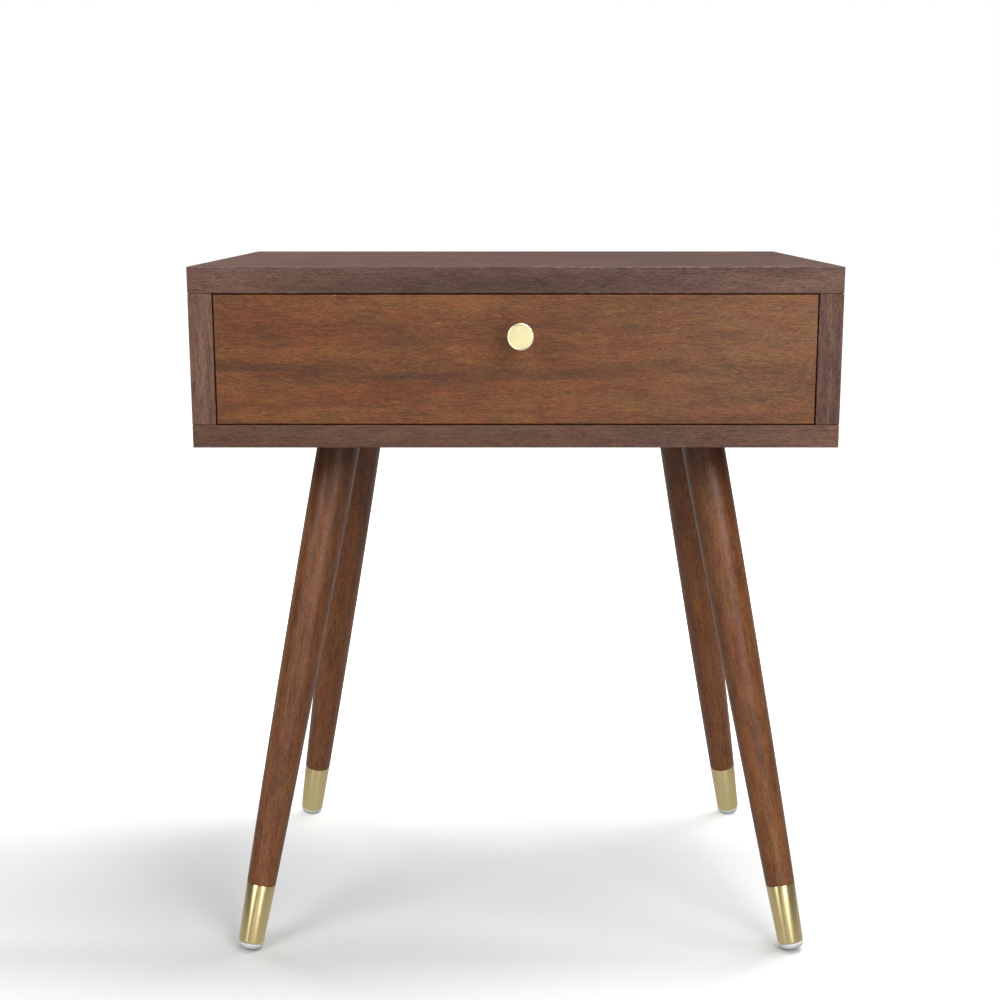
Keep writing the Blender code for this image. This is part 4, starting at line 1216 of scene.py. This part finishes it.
def floor_material():
    """A pale matt floor. The camera sees it lifted towards white, fully so far off.

    Shiny surfaces reflect it bright, and it throws little light back on the piece.
    """
    material, graph = new_material("pale_floor")
    place = graph.object_place()
    tooth = graph.noise(graph.scaled(place, (0.004, 0.004, 0.004)), detail=2)
    rough = graph.remap(tooth, 0.3, 0.7, 0.55, 0.70)
    matt = graph.step("ShaderNodeBsdfPrincipled", {"Base Color": (0.86, 0.86, 0.86, 1), "Roughness": rough,
                                                   "Specular IOR Level": 0.1})
    x, y, _ = graph.split(place)
    # A painted glow seen only by the camera, shaped by place into the case's soft shadow: lifted least
    # where the lights already reach under the case, and more behind and to the right.
    lit_side = graph.math("MAXIMUM", graph.remap(x, -0.08, 0.20), graph.remap(y, -0.08, -0.17))
    lit_side = graph.math("MAXIMUM", lit_side, graph.remap(x, -0.18, -0.32, 0.0, 0.45))
    lit_side = graph.math("MULTIPLY", lit_side, graph.remap(y, -0.27, -0.15))
    shaded = graph.math("MULTIPLY_ADD", lit_side, -FLOOR_EVENING, FLOOR_LIFT)
    clear = graph.math("MAXIMUM", graph.remap(y, 0.04, 0.30), graph.remap(x, 0.230, 0.310))
    near = graph.step("ShaderNodeMapRange", (clear, 0.0, 1.0, shaded, FLOOR_CLEAR))
    far = graph.remap(graph.vector("LENGTH", place, output=1), 0.55, 1.10)
    lifted_by = graph.step("ShaderNodeMapRange", (far, 0.0, 1.0, near, 1.0))
    lift = graph.step("ShaderNodeEmission", {"Color": (1, 1, 1, 1), "Strength": lifted_by})
    seen = graph.step("ShaderNodeAddShader", (matt, lift))

    reflected = graph.step("ShaderNodeEmission", {"Color": (1, 1, 1, 1), "Strength": 0.50})
    bounced = graph.step("ShaderNodeBsdfDiffuse", {"Color": (0.12, 0.12, 0.12, 1)})
    path = graph.add("ShaderNodeLightPath").outputs
    shader = graph.step("ShaderNodeMixShader", (path["Is Glossy Ray"], bounced, reflected))
    shader = graph.step("ShaderNodeMixShader", (path["Is Camera Ray"], shader, seen))
    graph.feed(graph.add("ShaderNodeOutputMaterial").inputs["Surface"], shader)
    return material


def build_floor(low):
    """A wide floor under the glides."""
    shape = bmesh.new()
    bmesh.ops.create_grid(shape, x_segments=1, y_segments=1, size=14.0)
    bmesh.ops.translate(shape, vec=(0, 0, low.z), verts=shape.verts)
    finished_object("studio_floor", shape, floor_material())


def build_surround():
    """A world that the camera sees white and that lights the piece only faintly."""
    world = bpy.data.worlds.new("studio")
    world.use_nodes = True
    bpy.context.scene.world = world
    graph = Graph(world.node_tree)
    graph.tree.nodes.clear()
    seen = graph.step("ShaderNodeBackground", {"Color": (1, 1, 1, 1), "Strength": 1.0})
    lit = graph.step("ShaderNodeBackground", {"Color": (1, 1, 1, 1), "Strength": SURROUND})
    path = graph.add("ShaderNodeLightPath").outputs["Is Camera Ray"]
    blend = graph.step("ShaderNodeMixShader", (path, lit, seen))
    graph.feed(graph.add("ShaderNodeOutputWorld").inputs["Surface"], blend)


def build_lights(low, high):
    """Soft panels at both sides, in front and overhead, strips for the legs, and two behind."""
    middle = (low + high) / 2
    legs = (0, 0, 0.15)
    area_light("left_panel", 19, (1.10, 0.9), (-1.45, -1.65, 1.45), middle)
    area_light("right_panel", 22, (1.10, 0.9), (1.00, -1.95, 1.40), middle)
    area_light("left_strip", 1.5, (0.14, 0.9), (-1.15, -1.40, 0.45), legs)
    area_light("right_strip", 2.8, (0.30, 0.9), (0.62, -1.75, 0.45), legs)
    area_light("overhead", 52, (2.0, 1.9), (0.72, 0.25, 2.3), (middle.x, middle.y, low.z))
    area_light("front_panel", 5.4, (1.4, 1.1), (0.0, -3.3, 0.40), (0.0, middle.y, 0.5))
    area_light("left_back_panel", 16, (1.0, 1.2), (-2.1, 1.5, 0.95), middle, mirrored=False)
    area_light("right_back_panel", 16, (1.0, 1.2), (2.1, 1.5, 0.95), middle, mirrored=False)


def build_camera(low, high):
    """The camera, in front of the case and looking down on it a little."""
    data = bpy.data.cameras.new("camera")
    data.lens = CAMERA_LENS
    data.sensor_width = 36.0
    data.shift_x = CAMERA_SLIDE
    data.shift_y = CAMERA_RISE
    camera = bpy.data.objects.new("camera", data)
    camera.location = (0, low.y - CAMERA_BACK, high.z + CAMERA_ABOVE_TOP)
    camera.rotation_euler = (math.pi / 2 - CAMERA_TILT, 0, 0)
    bpy.context.scene.collection.objects.link(camera)
    bpy.context.scene.camera = camera
    bpy.context.scene.view_settings.view_transform = "Standard"


def main():
    """Loads the frame, makes and finishes every piece, and sets the studio."""
    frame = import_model()
    frame_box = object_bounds()
    low, high = (Vector(corner) for corner in frame_box)
    groups = {"wood": stained_wood_group(), "edge": edge_wear_group(), "handling": handling_group(),
              "smudge": smudge_group(), "metal": turned_metal_group()}
    trees = {"screws": screw_tree(), "balls": ball_tree()}
    materials = make_materials(groups)
    case_low, case_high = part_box("bottom_panel")[0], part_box("top_panel")[1]
    corners = build_legs(frame["record"], case_low.z, materials)
    build_knob(materials)
    build_screws(corners, trees["screws"], materials)
    build_slides(trees, materials)
    finish_boards(frame, groups, materials)
    build_floor(low)
    build_surround()
    build_lights(low, high)
    build_camera(case_low, case_high)


main()
